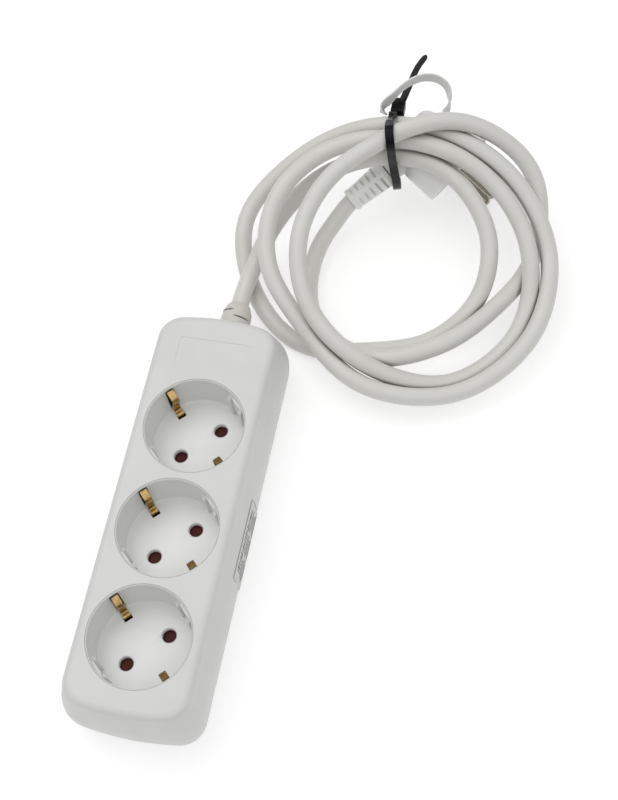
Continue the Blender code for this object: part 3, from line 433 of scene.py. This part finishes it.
def carved(bm, name, joins=(), cuts=()):
    """An object from a bmesh, with other bmeshes joined to it and then cut from it."""
    obj = object_from(bm, name)
    tools = []
    for operation, shapes in (("UNION", joins), ("DIFFERENCE", cuts)):
        for shape in shapes:
            tool = object_from(shape, "tool")
            modifier = obj.modifiers.new("carve", "BOOLEAN")
            modifier.operation = operation
            modifier.object = tool
            tools.append(tool)
    graph = bpy.context.evaluated_depsgraph_get()
    mesh = bpy.data.meshes.new_from_object(obj.evaluated_get(graph))
    obj.modifiers.clear()
    obj.data = mesh
    for tool in tools:
        bpy.data.objects.remove(tool)
    return obj


def finished(obj, material, body=MAIN_BODY, nodes=(), ease=0.0):
    """Shades an object, eases its sharp edges, and makes it a piece that rides on a body."""
    obj.data.materials.clear()
    obj.data.materials.append(material)
    if obj.type == "MESH":
        if ease:
            bevel = obj.modifiers.new("ease", "BEVEL")
            bevel.width = ease
            bevel.segments = 2
            bevel.limit_method = "ANGLE"
            bevel.angle_limit = EASED_ANGLE
        obj.data.shade_smooth()
        obj.data.set_sharp_from_angle(angle=EASED_SMOOTH_LIMIT if ease else SMOOTH_LIMIT)
        weighted = obj.modifiers.new("weighted", "WEIGHTED_NORMAL")
        weighted.keep_sharp = True
    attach(obj, body)
    if nodes:
        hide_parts(*nodes)
    return obj


def arc(centre, radius, start, end, steps):
    """Points along an arc, both ends included."""
    angles = np.linspace(start, end, steps + 1)
    return [(centre[0] + radius * math.cos(a), centre[1] + radius * math.sin(a)) for a in angles]


def eased(points, easing, closed=True, steps=5):
    """The outline with each corner rounded off over the easing distance."""
    points = [Vector(p) for p in points]
    result = []
    for i, point in enumerate(points):
        if not closed and i in (0, len(points) - 1):
            result.append(tuple(point))
            continue
        before = points[i - 1] - point
        after = points[(i + 1) % len(points)] - point
        reach = min(easing, before.length * 0.49, after.length * 0.49)
        first = point + before.normalized() * reach
        last = point + after.normalized() * reach
        for t in np.linspace(0, 1, steps):
            result.append(tuple(first * (1 - t) ** 2 + point * 2 * t * (1 - t) + last * t**2))
    return result


def rounded_rectangle(low, high, radius):
    """Outline of a rectangle with round corners."""
    corners = [(low[0], low[1]), (high[0], low[1]), (high[0], high[1]), (low[0], high[1])]
    return eased(corners, radius, steps=7)


def box(low, high, easing=0.0, segments=3):
    """Upright box between two corners, with its edges rounded."""
    bm = bmesh.new()
    low = Vector(low)
    high = Vector(high)
    bmesh.ops.create_cube(bm, size=1, matrix=Matrix.LocRotScale((low + high) / 2, None, high - low))
    if easing:
        bmesh.ops.bevel(bm, geom=bm.edges, offset=easing, segments=segments, profile=0.5, affect="EDGES")
    return bm


def prism(outline, low, high):
    """Flat outline in X and Y, extruded from low to high."""
    bm = bmesh.new()
    base = bm.faces.new([bm.verts.new((x, y, low)) for x, y in outline])
    raised = bmesh.ops.extrude_face_region(bm, geom=[base])
    moved = [item for item in raised["geom"] if isinstance(item, bmesh.types.BMVert)]
    bmesh.ops.translate(bm, vec=(0, 0, high - low), verts=moved)
    bmesh.ops.recalc_face_normals(bm, faces=bm.faces)
    return bm


def upright_prism(outline, low, high):
    """Outline in X and Z, extruded along Y from low to high."""
    return moved(prism(outline, -high, -low), Matrix.Rotation(math.pi / 2, 4, "X"))


def moved(bm, *matrices):
    """The bmesh with each matrix applied in turn, the last one first."""
    matrix = Matrix.Identity(4)
    for factor in matrices:
        matrix = matrix @ factor
    bmesh.ops.transform(bm, matrix=matrix, verts=bm.verts)
    return bm


def turned(profile, steps=96):
    """Solid of revolution about Z. The profile of (radius, height) runs down its outer side."""
    bm = bmesh.new()
    angles = [2 * math.pi * i / steps for i in range(steps)]
    rings = []
    for radius, height in profile:
        if radius:
            rings.append([bm.verts.new((*around(radius, angle), height)) for angle in angles])
        else:
            rings.append([bm.verts.new((0, 0, height))] * steps)
    for upper, lower in zip(rings, rings[1:]):
        for i in range(steps):
            j = (i + 1) % steps
            corners = dict.fromkeys((upper[i], lower[i], lower[j], upper[j]))
            bm.faces.new(corners)
    return bm


def rod(radius, low, high, place=(0, 0), steps=48):
    """Upright cylinder."""
    solid = turned([(0, high), (radius, high), (radius, low), (0, low)], steps)
    return moved(solid, Matrix.Translation((*place, 0)))


def around(reach, angle):
    """Place in X and Y at a distance from the socket's centre."""
    return (reach * math.cos(angle), reach * math.sin(angle))


def smooth_route(knots, count):
    """Evenly spaced points along a smooth curve through the knots."""
    knots = np.array([tuple(knot) for knot in knots], float)
    spans = np.linalg.norm(np.diff(knots, axis=0), axis=1)[:, None]
    slopes = np.diff(knots, axis=0) / spans
    tangents = np.empty_like(knots)
    tangents[1:-1] = (spans[1:] * slopes[:-1] + spans[:-1] * slopes[1:]) / (spans[1:] + spans[:-1])
    tangents[0] = 2 * slopes[0] - tangents[1]
    tangents[-1] = 2 * slopes[-1] - tangents[-2]
    shares = np.linspace(0, 1, 25)[:-1, None]
    pieces = []
    for i in range(len(spans)):
        rise = shares**2 * (3 - 2 * shares)
        leave = shares * (1 - shares) ** 2 * spans[i]
        arrive = shares**2 * (shares - 1) * spans[i]
        between = knots[i] * (1 - rise) + knots[i + 1] * rise
        pieces.append(between + leave * tangents[i] + arrive * tangents[i + 1])
    dense = np.concatenate([*pieces, knots[-1:]])
    travelled = np.concatenate([[0], np.cumsum(np.linalg.norm(np.diff(dense, axis=0), axis=1))])
    stops = np.linspace(0, travelled[-1], count)
    even = np.stack([np.interp(stops, travelled, dense[:, axis]) for axis in range(3)], axis=1)
    return [Vector(point.tolist()) for point in even]


def relaxed(points, rounds):
    """The points with each one drawn towards its neighbours' middle, both ends held."""
    line = np.array([tuple(point) for point in points])
    for _ in range(rounds):
        line[1:-1] = line[1:-1] / 2 + (line[:-2] + line[2:]) / 4
    return [Vector(point.tolist()) for point in line]


def sweep(points, section, across, closed=False, scales=None):
    """Solid strap: the section's (across, out) offsets carried along the points."""
    bm = bmesh.new()
    last = len(points) - 1
    rings = []
    for i, point in enumerate(points):
        before = points[i - 1] if closed or i else point
        after = points[(i + 1) % len(points)] if closed or i < last else point
        along = (after - before).normalized()
        side = (across - along * across.dot(along)).normalized()
        out = along.cross(side)
        scale = scales[i] if scales else 1
        rings.append([bm.verts.new(point + side * a * scale + out * b) for a, b in section])
    following = rings[1:] + rings[:1] if closed else rings[1:]
    for ring, following_ring in zip(rings, following):
        for i in range(len(ring)):
            j = (i + 1) % len(ring)
            bm.faces.new((ring[i], ring[j], following_ring[j], following_ring[i]))
    if not closed:
        bm.faces.new(rings[0])
        bm.faces.new(rings[-1])
    bmesh.ops.recalc_face_normals(bm, faces=bm.faces)
    return bm


def strap_section(width, thickness, easing):
    """Rounded rectangle about the origin."""
    x = width / 2
    y = thickness / 2
    return eased([(-x, -y), (x, -y), (x, y), (-x, y)], easing, steps=4)


def in_mm(*points):
    """Vectors in metres from points in millimetres."""
    return [Vector(point) * MM for point in points]


# ---------------------------------------------------------------- housing


def plan_outline(half_width, half_length, inset=0.0, bulge=0.0):
    """The strip from above: straight sides, rounded corners and slightly bowed ends."""
    half_width = half_width + bulge - inset
    half_length = half_length + bulge - inset
    radius = max(CORNER_RADIUS - inset, 2 * MM)
    lean = math.atan(2 * END_BOW * (half_width - radius) / half_width**2)
    arc_end = math.pi / 2 - lean
    corner_x = half_width - radius
    bow_start = corner_x + radius * math.cos(arc_end)

    def end_y(x):
        return half_length - END_BOW * (x / half_width) ** 2

    corner_y = end_y(bow_start) - radius * math.sin(arc_end)
    quarter = arc((corner_x, corner_y), radius, 0, arc_end, 14)
    quarter += [(x, end_y(x)) for x in np.linspace(bow_start, 0, 13)[1:]]
    half = quarter + [(-x, y) for x, y in quarter[-2::-1]]
    return half + [(-x, -y) for x, y in half]


def housing_outside(half_width, half_length, top):
    """Closed body that swells smoothly to its widest half-way up, with both its rims rounded."""
    (upper_height, upper_bulge), (shoulder_height, shoulder_bulge) = WALL_BULGE[-2:]
    lean = math.atan2(upper_bulge - shoulder_bulge, shoulder_height - upper_height)
    corners = [(bulge * MM, height * MM) for height, bulge in WALL_BULGE]
    bulges, heights = zip(*eased(corners, 4 * MM, closed=False, steps=7))
    levels = []
    for turn in np.linspace(0, math.pi / 2, 8):
        levels.append((BOTTOM_ROUND * (1 - math.cos(turn)), BOTTOM_ROUND * (1 - math.sin(turn))))
    levels += [(height, 0) for height in heights if BOTTOM_ROUND < height < top - TOP_ROUND]
    for turn in np.linspace(lean, math.pi / 2, 14):
        inset = TOP_ROUND * (math.cos(lean) - math.cos(turn))
        levels.append((top - TOP_ROUND * (1 - math.sin(turn)), inset))
    bm = bmesh.new()
    rings = []
    for height, inset in levels:
        bulge = float(np.interp(height, heights, bulges))
        outline = plan_outline(half_width, half_length, inset, bulge)
        rings.append([bm.verts.new((x, y, height)) for x, y in outline])
    for ring, above in zip(rings, rings[1:]):
        for i in range(len(ring)):
            j = (i + 1) % len(ring)
            bm.faces.new((ring[i], ring[j], above[j], above[i]))
    bm.faces.new(rings[0])
    bm.faces.new(rings[-1])
    bmesh.ops.recalc_face_normals(bm, faces=bm.faces)
    return bm


def top_housing(paint):
    """Upper shell with eased deck holes, cord hole, name panel and a flat pad for the label."""
    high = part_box("top_housing")[1]
    widest = max(bulge for _, bulge in WALL_BULGE) * MM
    half_width = high.x - widest
    half_length = high.y - widest
    top = high.z
    under_deck = top - DECK
    hole = INSERT_RADIUS + SEAM
    lip = DECK_HOLE_EASING
    above = top + MM
    hole_profile = [(0, above), (hole + lip, above), (hole + lip, top)]
    hole_profile += arc((hole + lip, top - lip), lip, math.pi / 2, math.pi, 5)
    hole_profile += [(hole, under_deck - MM), (0, under_deck - MM)]
    cuts = [prism(plan_outline(half_width, half_length, WALL), -MM, under_deck)]
    for x, y in socket_places():
        cuts.append(moved(turned(hole_profile, 128), Matrix.Translation((x, y, 0))))
    cord_hole = rod(CORD_HOLE_RADIUS, *END_WALL, steps=64)
    cuts.append(moved(cord_hole, Matrix.Translation((0, 0, GLAND_HEIGHT)), ALONG_Y))
    panel = rounded_rectangle(*NAME_PANEL, 1.2 * MM)
    cuts.append(prism(panel, top - NAME_PANEL_DEPTH, above))
    label_low, label_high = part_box("rating_label")
    pad_low = (label_low.y - LABEL_ROOM, label_low.z - LABEL_ROOM)
    pad_high = (label_high.y + LABEL_ROOM, label_high.z + LABEL_ROOM)
    pad = rounded_rectangle(pad_low, pad_high, MM)
    cuts.append(moved(prism(pad, label_low.x, label_low.x + 3 * MM), SIDEWAYS))
    shell = carved(housing_outside(half_width, half_length, top), "housing_skin", cuts=cuts)
    finished(shell, paint["shell"], nodes=["top_housing"], ease=0.12 * MM)


def rating_label(paint, ink):
    """Sticker on the side wall, with a row of short strokes over rows of plain bars."""
    low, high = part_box("rating_label")
    outline = rounded_rectangle((low.y, low.z), (high.y, high.z), 0.8 * MM)
    sticker = object_from(moved(prism(outline, low.x, high.x), SIDEWAYS), "label_sticker")
    finished(sticker, paint["label"], nodes=["rating_label"], ease=0.05 * MM)
    marks = []
    for step in range(LABEL_STROKES):
        width = (0.55 + 0.25 * (step * 5 % 3)) * MM
        place = (low.y + 4.5 * MM + LABEL_STROKE_PITCH * step, high.z - 4.2 * MM)
        marks.append((*place, width, (3.2 + step % 2) * MM))
    for row in range(LABEL_BAR_ROWS):
        for column in range(LABEL_BAR_COLUMNS):
            width = (6 + (row * 2 + column) % 3 * 1.5) * MM
            place = (low.y + (7 + 9.5 * column) * MM, low.z + (1.6 + 2 * row) * MM)
            marks.append((*place, width, 0.9 * MM))
    bars = bmesh.new()
    for y, z, width, height in marks:
        scale = Vector((0.06 * MM, width, height))
        bmesh.ops.create_cube(bars, size=1, matrix=Matrix.LocRotScale(Vector((high.x, y, z)), None, scale))
    finished(object_from(bars, "label_bars"), ink)


# ---------------------------------------------------------------- sockets


def socket_places():
    """Centre of each socket in X and Y, the one nearest the lead first."""
    boxes = [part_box(f"socket_insert_{number}") for number in (1, 2, 3)]
    return [((low.x + high.x) / 2, (low.y + high.y) / 2) for low, high in boxes]


def guide_rib(angle, offset, rim_top):
    """Rib that guides a plug: it fades out towards the rim of the well."""
    buried = WELL_RADIUS + 0.4 * MM
    proud = WELL_RADIUS - LUG_PROUD
    outline = [
        (buried, rim_top - 2.9 * MM),
        (WELL_RADIUS - 0.4 * MM, rim_top - 2.9 * MM),
        (proud, rim_top - 5 * MM),
        (proud, WELL_FLOOR - MM),
        (buried, WELL_FLOOR - MM),
    ]
    bm = upright_prism(eased(outline, 0.5 * MM), offset - LUG_WIDTH / 2, offset + LUG_WIDTH / 2)
    return moved(bm, Matrix.Rotation(angle, 4, "Z"))


def socket_insert(rim_top):
    """Round well: eased rim, floor with chamfered pin holes, guide ribs, clip windows and slots."""
    flange_top = rim_top - 2.7 * MM
    profile = [(0, WELL_FLOOR)]
    profile += arc((WELL_FOOT_RADIUS - MM, WELL_FLOOR + MM), MM, -math.pi / 2, 0, 6)
    rim_centre = (WELL_RADIUS + WELL_RIM_EASING, rim_top - WELL_RIM_EASING)
    profile += arc(rim_centre, WELL_RIM_EASING, math.pi, math.pi / 2, 8)[:-2]
    profile += [(INSERT_RADIUS - 0.1 * MM, rim_top), (INSERT_RADIUS, rim_top - 0.1 * MM)]
    profile += [
        (INSERT_RADIUS, flange_top),
        (INSERT_FLANGE_RADIUS, flange_top),
        (INSERT_FLANGE_RADIUS, flange_top - 1.5 * MM),
        (INSERT_SKIRT_RADIUS, flange_top - 1.5 * MM),
        (INSERT_SKIRT_RADIUS, WELL_UNDERSIDE),
        (0, WELL_UNDERSIDE),
    ]
    joins = []
    for side in (0, math.pi):
        for offset in (-LUG_SPREAD / 2, LUG_SPREAD / 2):
            joins.append(guide_rib(PIN_ANGLE + side, offset, rim_top))
        plate = box(
            (WELL_RADIUS - 0.9 * MM, -LUG_SPREAD / 2, WELL_FLOOR - MM),
            (WELL_RADIUS + 0.4 * MM, LUG_SPREAD / 2, rim_top - 3.4 * MM),
        )
        joins.append(moved(plate, Matrix.Rotation(PIN_ANGLE + side, 4, "Z")))
    above = WELL_FLOOR + MM
    flare = PIN_HOLE_RADIUS + PIN_HOLE_FLARE
    pin_hole = [
        (0, above),
        (flare, above),
        (flare, WELL_FLOOR),
        (PIN_HOLE_RADIUS, WELL_FLOOR - PIN_HOLE_FLARE),
        (PIN_HOLE_RADIUS, WELL_UNDERSIDE - MM),
        (0, WELL_UNDERSIDE - MM),
    ]
    cuts = []
    for side in (0, math.pi):
        place = Matrix.Translation((*around(PIN_REACH, PIN_ANGLE + side), 0))
        cuts.append(moved(turned(pin_hole, 64), place))
    for angle in CLIP_ANGLES.values():
        turn = Matrix.Rotation(angle, 4, "Z")
        window = box((17.9 * MM, -1.9 * MM, above), (21.6 * MM, 1.9 * MM, rim_top - 1.3 * MM))
        slot = box((13.9 * MM, -1.8 * MM, WELL_UNDERSIDE - MM), (15.8 * MM, 1.8 * MM, above))
        cuts += [moved(window, turn), moved(slot, turn)]
    return carved(turned(profile, 160), "socket_well", joins, cuts)


def earth_clip():
    """Bent brass spring seen from its edge, at the angle 0: X is outward from the socket's centre."""
    bends = in_mm(*((reach, 0, height) for reach, height in CLIP_BENDS))
    line = [Vector(point) for point in eased(bends, 1.6 * MM, closed=False, steps=8)]
    return sweep(line, strap_section(*CLIP_SECTION, 0.14 * MM), Vector((0, 1, 0)))


def sockets(paint):
    """The well and the two earth clips of each socket."""
    rim_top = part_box("socket_insert_1")[1].z
    well = socket_insert(rim_top)
    for number, (x, y) in enumerate(socket_places(), 1):
        piece = bpy.data.objects.new(f"well_{number}", well.data.copy())
        bpy.context.scene.collection.objects.link(piece)
        piece.data.transform(Matrix.Translation((x, y, 0)))
        finished(piece, paint["insert"], nodes=[f"socket_insert_{number}"], ease=0.12 * MM)
        for side, angle in CLIP_ANGLES.items():
            place = Matrix.Translation((x, y, 0)) @ Matrix.Rotation(angle, 4, "Z")
            clip = object_from(moved(earth_clip(), place), f"clip_{side}_{number}")
            node = f"earth_clip_{side}_{number}"
            finished(clip, paint["brass"], body=node, nodes=[node])
    bpy.data.objects.remove(well)


# ---------------------------------------------------------------- lead


def lead_line():
    """The lead's centreline: out of the gland, clockwise round the coil's turns, into the plug."""
    knots = in_mm(*LEAD_OUT)
    places = [place for row in COIL_ROWS for place in row]
    for number, (radius, height) in enumerate(places):
        angle = math.pi - number * 2 * math.pi / TURN_STEPS
        knots.append(COIL_CENTRE + Vector((*around(radius, angle), height)) * MM)
    return relaxed(smooth_route(knots + in_mm(*LEAD_IN), CORD_POINTS), 12)


def mains_cord(paint):
    """The lead, as one round curve."""
    curve = bpy.data.curves.new("lead_sheath", "CURVE")
    curve.dimensions = "3D"
    curve.bevel_depth = CORD_RADIUS
    curve.bevel_resolution = 7
    curve.use_fill_caps = True
    line = lead_line()
    spline = curve.splines.new("POLY")
    spline.points.add(len(line) - 1)
    for spline_point, point in zip(spline.points, line):
        spline_point.co = (*point, 1)
        spline_point.radius = 1
    cord = bpy.data.objects.new("lead_sheath", curve)
    bpy.context.scene.collection.objects.link(cord)
    finished(cord, paint["cord"], nodes=["mains_cord"])


def cord_gland(paint):
    """Boot that holds the lead in the end wall, with two slits that let it bend."""
    bore = CORD_RADIUS + SLEEVE_CLEARANCE
    outer = [
        (0, GLAND_TIP - 5 * MM),
        (bore, GLAND_TIP - 5 * MM),
        (bore, GLAND_TIP),
        (4.5 * MM, GLAND_TIP),
        (4.9 * MM, 99.4 * MM),
        (5.7 * MM, 97.4 * MM),
        (6.1 * MM, 96.4 * MM),
        (GLAND_RADIUS, 93 * MM),
        (GLAND_RADIUS, GLAND_FLANGE_END),
        (GLAND_FLANGE_RADIUS, GLAND_FLANGE_END),
        (GLAND_FLANGE_RADIUS, GLAND_INNER_END),
        (0, GLAND_INNER_END),
    ]
    slits = []
    for height, angle in GLAND_SLITS:
        slit_low = (GLAND_SLIT_BOTTOM, -10 * MM, height - 0.4 * MM)
        slit = box(slit_low, (10 * MM, 10 * MM, height + 0.4 * MM))
        slits.append(moved(slit, Matrix.Rotation(angle, 4, "Z")))
    gland = carved(turned(eased(outer, 0.35 * MM, closed=False), 96), "lead_boot", cuts=slits)
    gland.data.transform(Matrix.Translation((0, 0, GLAND_HEIGHT)) @ ALONG_Y)
    return finished(gland, paint["gland"], nodes=["cord_gland"], ease=0.1 * MM)


# ---------------------------------------------------------------- plug


def relief_frame():
    """Stands Z on the sleeve's wide end, along the sleeve, in the plug's own axes."""
    turn = (RELIEF_NARROW - RELIEF_WIDE).to_track_quat("Z", "Y").to_matrix().to_4x4()
    return Matrix.Translation(RELIEF_WIDE) @ turn


def plug_shell():
    """Round front that fills a socket, and the block behind it that turns the lead aside."""
    profile = [
        (0, 0),
        (PLUG_RADIUS - 0.6 * MM, 0),
        (PLUG_RADIUS, -0.6 * MM),
        (PLUG_RADIUS, -PLUG_DEPTH),
        (16.6 * MM, -17.5 * MM),
        (15 * MM, -19.6 * MM),
        (13 * MM, -21 * MM),
        (0, -21 * MM),
    ]
    front = moved(turned(eased(profile, 0.9 * MM, closed=False), 128), ALONG_Y)
    block = box(*PLUG_BLOCK, PLUG_BLOCK_EASING, 10)
    neck_profile = [(0, -GAP), (5.3 * MM, -GAP), (5.3 * MM, -12 * MM), (0, -12 * MM)]
    neck = turned(eased(neck_profile, 0.5 * MM, closed=False), 64)
    cuts = [moved(rod(PLUG_POCKET_RADIUS, -3.3 * MM, MM, steps=96), ALONG_Y)]
    for side in (0, math.pi):
        notch = box((15.5 * MM, -2.75 * MM, -14 * MM), (19 * MM, 2.75 * MM, MM))
        groove = box((16 * MM, -2.5 * MM, -13.8 * MM), (19 * MM, 2.5 * MM, MM))
        cuts.append(moved(notch, ALONG_Y, Matrix.Rotation(side - PLUG_PIN_ANGLE, 4, "Z")))
        cuts.append(moved(groove, ALONG_Y, Matrix.Rotation(side + PLUG_STRIP_ANGLE, 4, "Z")))
    return carved(front, "plug_shell", [block, moved(neck, relief_frame())], cuts)


def plug_insert():
    """Bridge in the plug's face, with its pin holes and the socket for an earth pin."""
    radius = PLUG_BRIDGE_RADIUS
    corners = [(0, -0.2 * MM), (radius, -0.2 * MM), (radius, -3 * MM), (0, -3 * MM)]
    profile = eased(corners, 0.3 * MM, closed=False)
    cuts = []
    for side in (0, math.pi):
        place = around(PIN_REACH, side - PLUG_PIN_ANGLE)
        cuts.append(rod(PLUG_PIN_RADIUS + 0.1 * MM, -2 * MM, MM, place))
    cuts.append(rod(2.6 * MM, -4 * MM, MM, around(8 * MM, PLUG_STRIP_ANGLE)))
    insert = carved(turned(profile, 96), "plug_insert", cuts=cuts)
    insert.data.transform(ALONG_Y)
    return insert


def plug_pin(number, side):
    """Round pin with a domed end."""
    dome = PLUG_PIN_RADIUS * 0.95
    profile = arc((0, PLUG_PIN_LENGTH - dome), dome, math.pi / 2, 0, 10)
    profile[0] = (0, PLUG_PIN_LENGTH)
    profile += [(PLUG_PIN_RADIUS, PLUG_PIN_LENGTH - 2.5 * MM), (PLUG_PIN_RADIUS, -1.7 * MM), (0, -1.7 * MM)]
    place = Matrix.Translation((*around(PIN_REACH, side - PLUG_PIN_ANGLE), 0))
    return object_from(moved(turned(profile, 48), ALONG_Y, place), f"pin_{number}")


def plug_relief():
    """Tapered sleeve with four rows of short slits that let it bend, and a lip at its narrow end."""
    length = (RELIEF_NARROW - RELIEF_WIDE).length
    bore = CORD_RADIUS + SLEEVE_CLEARANCE
    profile = [
        (0, length - SLEEVE_HOLD),
        (bore, length - SLEEVE_HOLD),
        (bore, length),
        (RELIEF_TIP_RADIUS, length),
        (RELIEF_TIP_RADIUS, length - 1.7 * MM),
        (4.9 * MM, length - 2.2 * MM),
        (6.0 * MM, 2.4 * MM),
        (RELIEF_RADIUS, 1.9 * MM),
        (RELIEF_RADIUS, 0),
        (0, 0),
    ]
    slits = []
    for row in range(4):
        turn = Matrix.Rotation(RELIEF_ROW_ANGLE + row * math.pi / 2, 4, "Z")
        for step in range(RELIEF_SLITS):
            height = (3.6 + 1.5 * (row % 2)) * MM + RELIEF_SLIT_PITCH * step
            slit = box((4.3 * MM, -3.4 * MM, height - 0.5 * MM), (9 * MM, 3.4 * MM, height + 0.5 * MM))
            slits.append(moved(slit, turn))
    sleeve = carved(turned(eased(profile, 0.3 * MM, closed=False), 96), "lead_relief", cuts=slits)
    sleeve.data.transform(relief_frame())
    return sleeve


def plug(paint):
    """Every piece of the plug, built in the plug's own axes and then laid in place."""
    pieces = [(plug_shell(), "plug", ["plug_body"]), (plug_insert(), "plug", ["plug_bridge"])]
    pieces.append((plug_relief(), "plug", ["plug_strain_relief"]))
    for number, side in enumerate((0, math.pi), 1):
        pieces.append((plug_pin(number, side), "nickel", [f"plug_pin_{number}"]))
        strip = box((16.35 * MM, -2 * MM, -13.4 * MM), (17.15 * MM, 2 * MM, -0.5 * MM), 0.3 * MM)
        strip = moved(strip, ALONG_Y, Matrix.Rotation(side + PLUG_STRIP_ANGLE, 4, "Z"))
        strip = object_from(strip, f"earth_strip_{number}")
        pieces.append((strip, "nickel", [f"plug_earth_strip_{number}"]))
    for piece, slot, nodes in pieces:
        piece.data.transform(PLUG_FRAME)
        ease = 0.12 * MM if slot == "plug" else 0.0
        finished(piece, paint[slot], nodes=nodes, ease=ease)
    return [piece for piece, slot, nodes in pieces]


# ---------------------------------------------------------------- tie and band


def cable_tie(paint):
    """Strap round the gathered turns and the plug's sleeve, with its head and its bent tail."""
    loop = in_mm(*TIE_LOOP)
    section = strap_section(TIE_WIDTH, TIE_THICK, 0.3 * MM)
    strap = sweep(smooth_route(loop + loop[:1], 181)[:-1], section, Vector((1, 0.25, 0)), closed=True)
    head = box((50 * MM, 186.6 * MM, 38.6 * MM), (55.8 * MM, 192.4 * MM, 43.4 * MM), 0.7 * MM, 5)
    step = box((50.6 * MM, 190 * MM, 39 * MM), (55.2 * MM, 194 * MM, 43 * MM), 0.5 * MM, 4)
    tail_line = smooth_route(in_mm(*TIE_TAIL), 48)
    shares = np.linspace(0, 1, len(tail_line))
    tip = np.clip((shares - 0.93) / 0.07, 0, 0.95)
    scales = (0.86 - 0.22 * shares) * np.sqrt(1 - tip**2)
    tail = sweep(tail_line, section, Vector((1, -0.3, 0.1)), scales=[float(scale) for scale in scales])
    tie = carved(strap, "tie_strap", joins=[head, step, tail])
    finished(tie, paint["tie"], nodes=["cable_tie"])


def band_loop(paint):
    """Flat band that was tucked under the tie and stands up in an open loop."""
    section = strap_section(BAND_WIDTH, BAND_THICK, 0.35 * MM)
    line = smooth_route(in_mm(*BAND_PATH), 90)
    band = object_from(sweep(line, section, Vector((0.1, 0.2, 1))), "band_strip")
    finished(band, paint["band"], nodes=["band_loop"])


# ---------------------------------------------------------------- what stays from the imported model


def paint_packed_nodes(paint):
    """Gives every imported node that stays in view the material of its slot."""
    slots = {part["node"]: part["material_slot"] for part in frame["record"]["subparts"]}
    for name, node in frame["nodes"].items():
        if not node.hide_render:
            node.data.materials.clear()
            node.data.materials.append(paint[slots[name]])


# ---------------------------------------------------------------- camera, light, floor


def add_camera():
    """Camera at the reference view: above the foot of the strip, looking down along it."""
    data = bpy.data.cameras.new("camera")
    data.sensor_fit = "VERTICAL"
    data.sensor_height = SENSOR
    data.lens = CAMERA_LENS
    camera = bpy.data.objects.new("camera", data)
    camera.location = CAMERA_PLACE
    camera.rotation_euler = [math.radians(angle) for angle in CAMERA_TURN]
    bpy.context.scene.collection.objects.link(camera)
    bpy.context.scene.camera = camera


def add_softbox(name, place, power):
    """Square area light that looks at the middle of the object."""
    data = bpy.data.lights.new(name, "AREA")
    data.energy = power
    data.size = SOFTBOX_SIZE
    light = bpy.data.objects.new(name, data)
    light.location = place
    light.rotation_euler = (Vector(place) - SOFTBOX_TARGET).to_track_quat("Z", "Y").to_euler()
    bpy.context.scene.collection.objects.link(light)


def light_studio():
    """White surroundings, brighter overhead than round the horizon, and large soft lights."""
    world = bpy.data.worlds.new("studio")
    world.use_nodes = True
    nodes = world.node_tree.nodes
    links = world.node_tree.links
    background = nodes["Background"]
    background.inputs["Color"].default_value = (1, 1, 1, 1)
    split = nodes.new("ShaderNodeSeparateXYZ")
    links.new(nodes.new("ShaderNodeTexCoord").outputs["Generated"], split.inputs["Vector"])
    rise = nodes.new("ShaderNodeMapRange")
    rise.inputs["From Max"].default_value = 0.8
    rise.inputs["To Min"].default_value = HORIZON_LIGHT
    rise.inputs["To Max"].default_value = ZENITH_LIGHT
    links.new(split.outputs["Z"], rise.inputs["Value"])
    links.new(rise.outputs["Result"], background.inputs["Strength"])
    bpy.context.scene.world = world
    add_softbox("key", (-0.35, 0.3, 0.95), KEY_POWER)
    add_softbox("fill", (0.4, -0.3, 0.95), FILL_POWER)
    bpy.context.scene.view_settings.view_transform = "Standard"


def add_floor():
    """Plain white floor under the object."""
    bm = bmesh.new()
    bmesh.ops.create_grid(bm, x_segments=1, y_segments=1, size=FLOOR_SIZE / 2)
    floor = object_from(moved(bm, Matrix.Translation((0, 0, -FLOOR_DROP))), "floor")
    floor.data.materials.append(floor_paper())


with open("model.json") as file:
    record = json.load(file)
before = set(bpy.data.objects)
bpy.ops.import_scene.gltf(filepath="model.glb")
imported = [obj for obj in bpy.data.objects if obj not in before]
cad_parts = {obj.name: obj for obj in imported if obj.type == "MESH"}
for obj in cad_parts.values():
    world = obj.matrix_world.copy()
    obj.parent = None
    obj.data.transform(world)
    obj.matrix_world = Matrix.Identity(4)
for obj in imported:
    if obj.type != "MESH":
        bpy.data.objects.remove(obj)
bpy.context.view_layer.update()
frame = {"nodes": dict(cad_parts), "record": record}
add_camera()
paint = make_paint()
gland = cord_gland(paint)
plug_pieces = plug(paint)
mains_cord(paint)
top_housing(paint)
rating_label(paint, label_ink())
sockets(paint)
cable_tie(paint)
band_loop(paint)
paint_packed_nodes(paint)
light_studio()
add_floor()
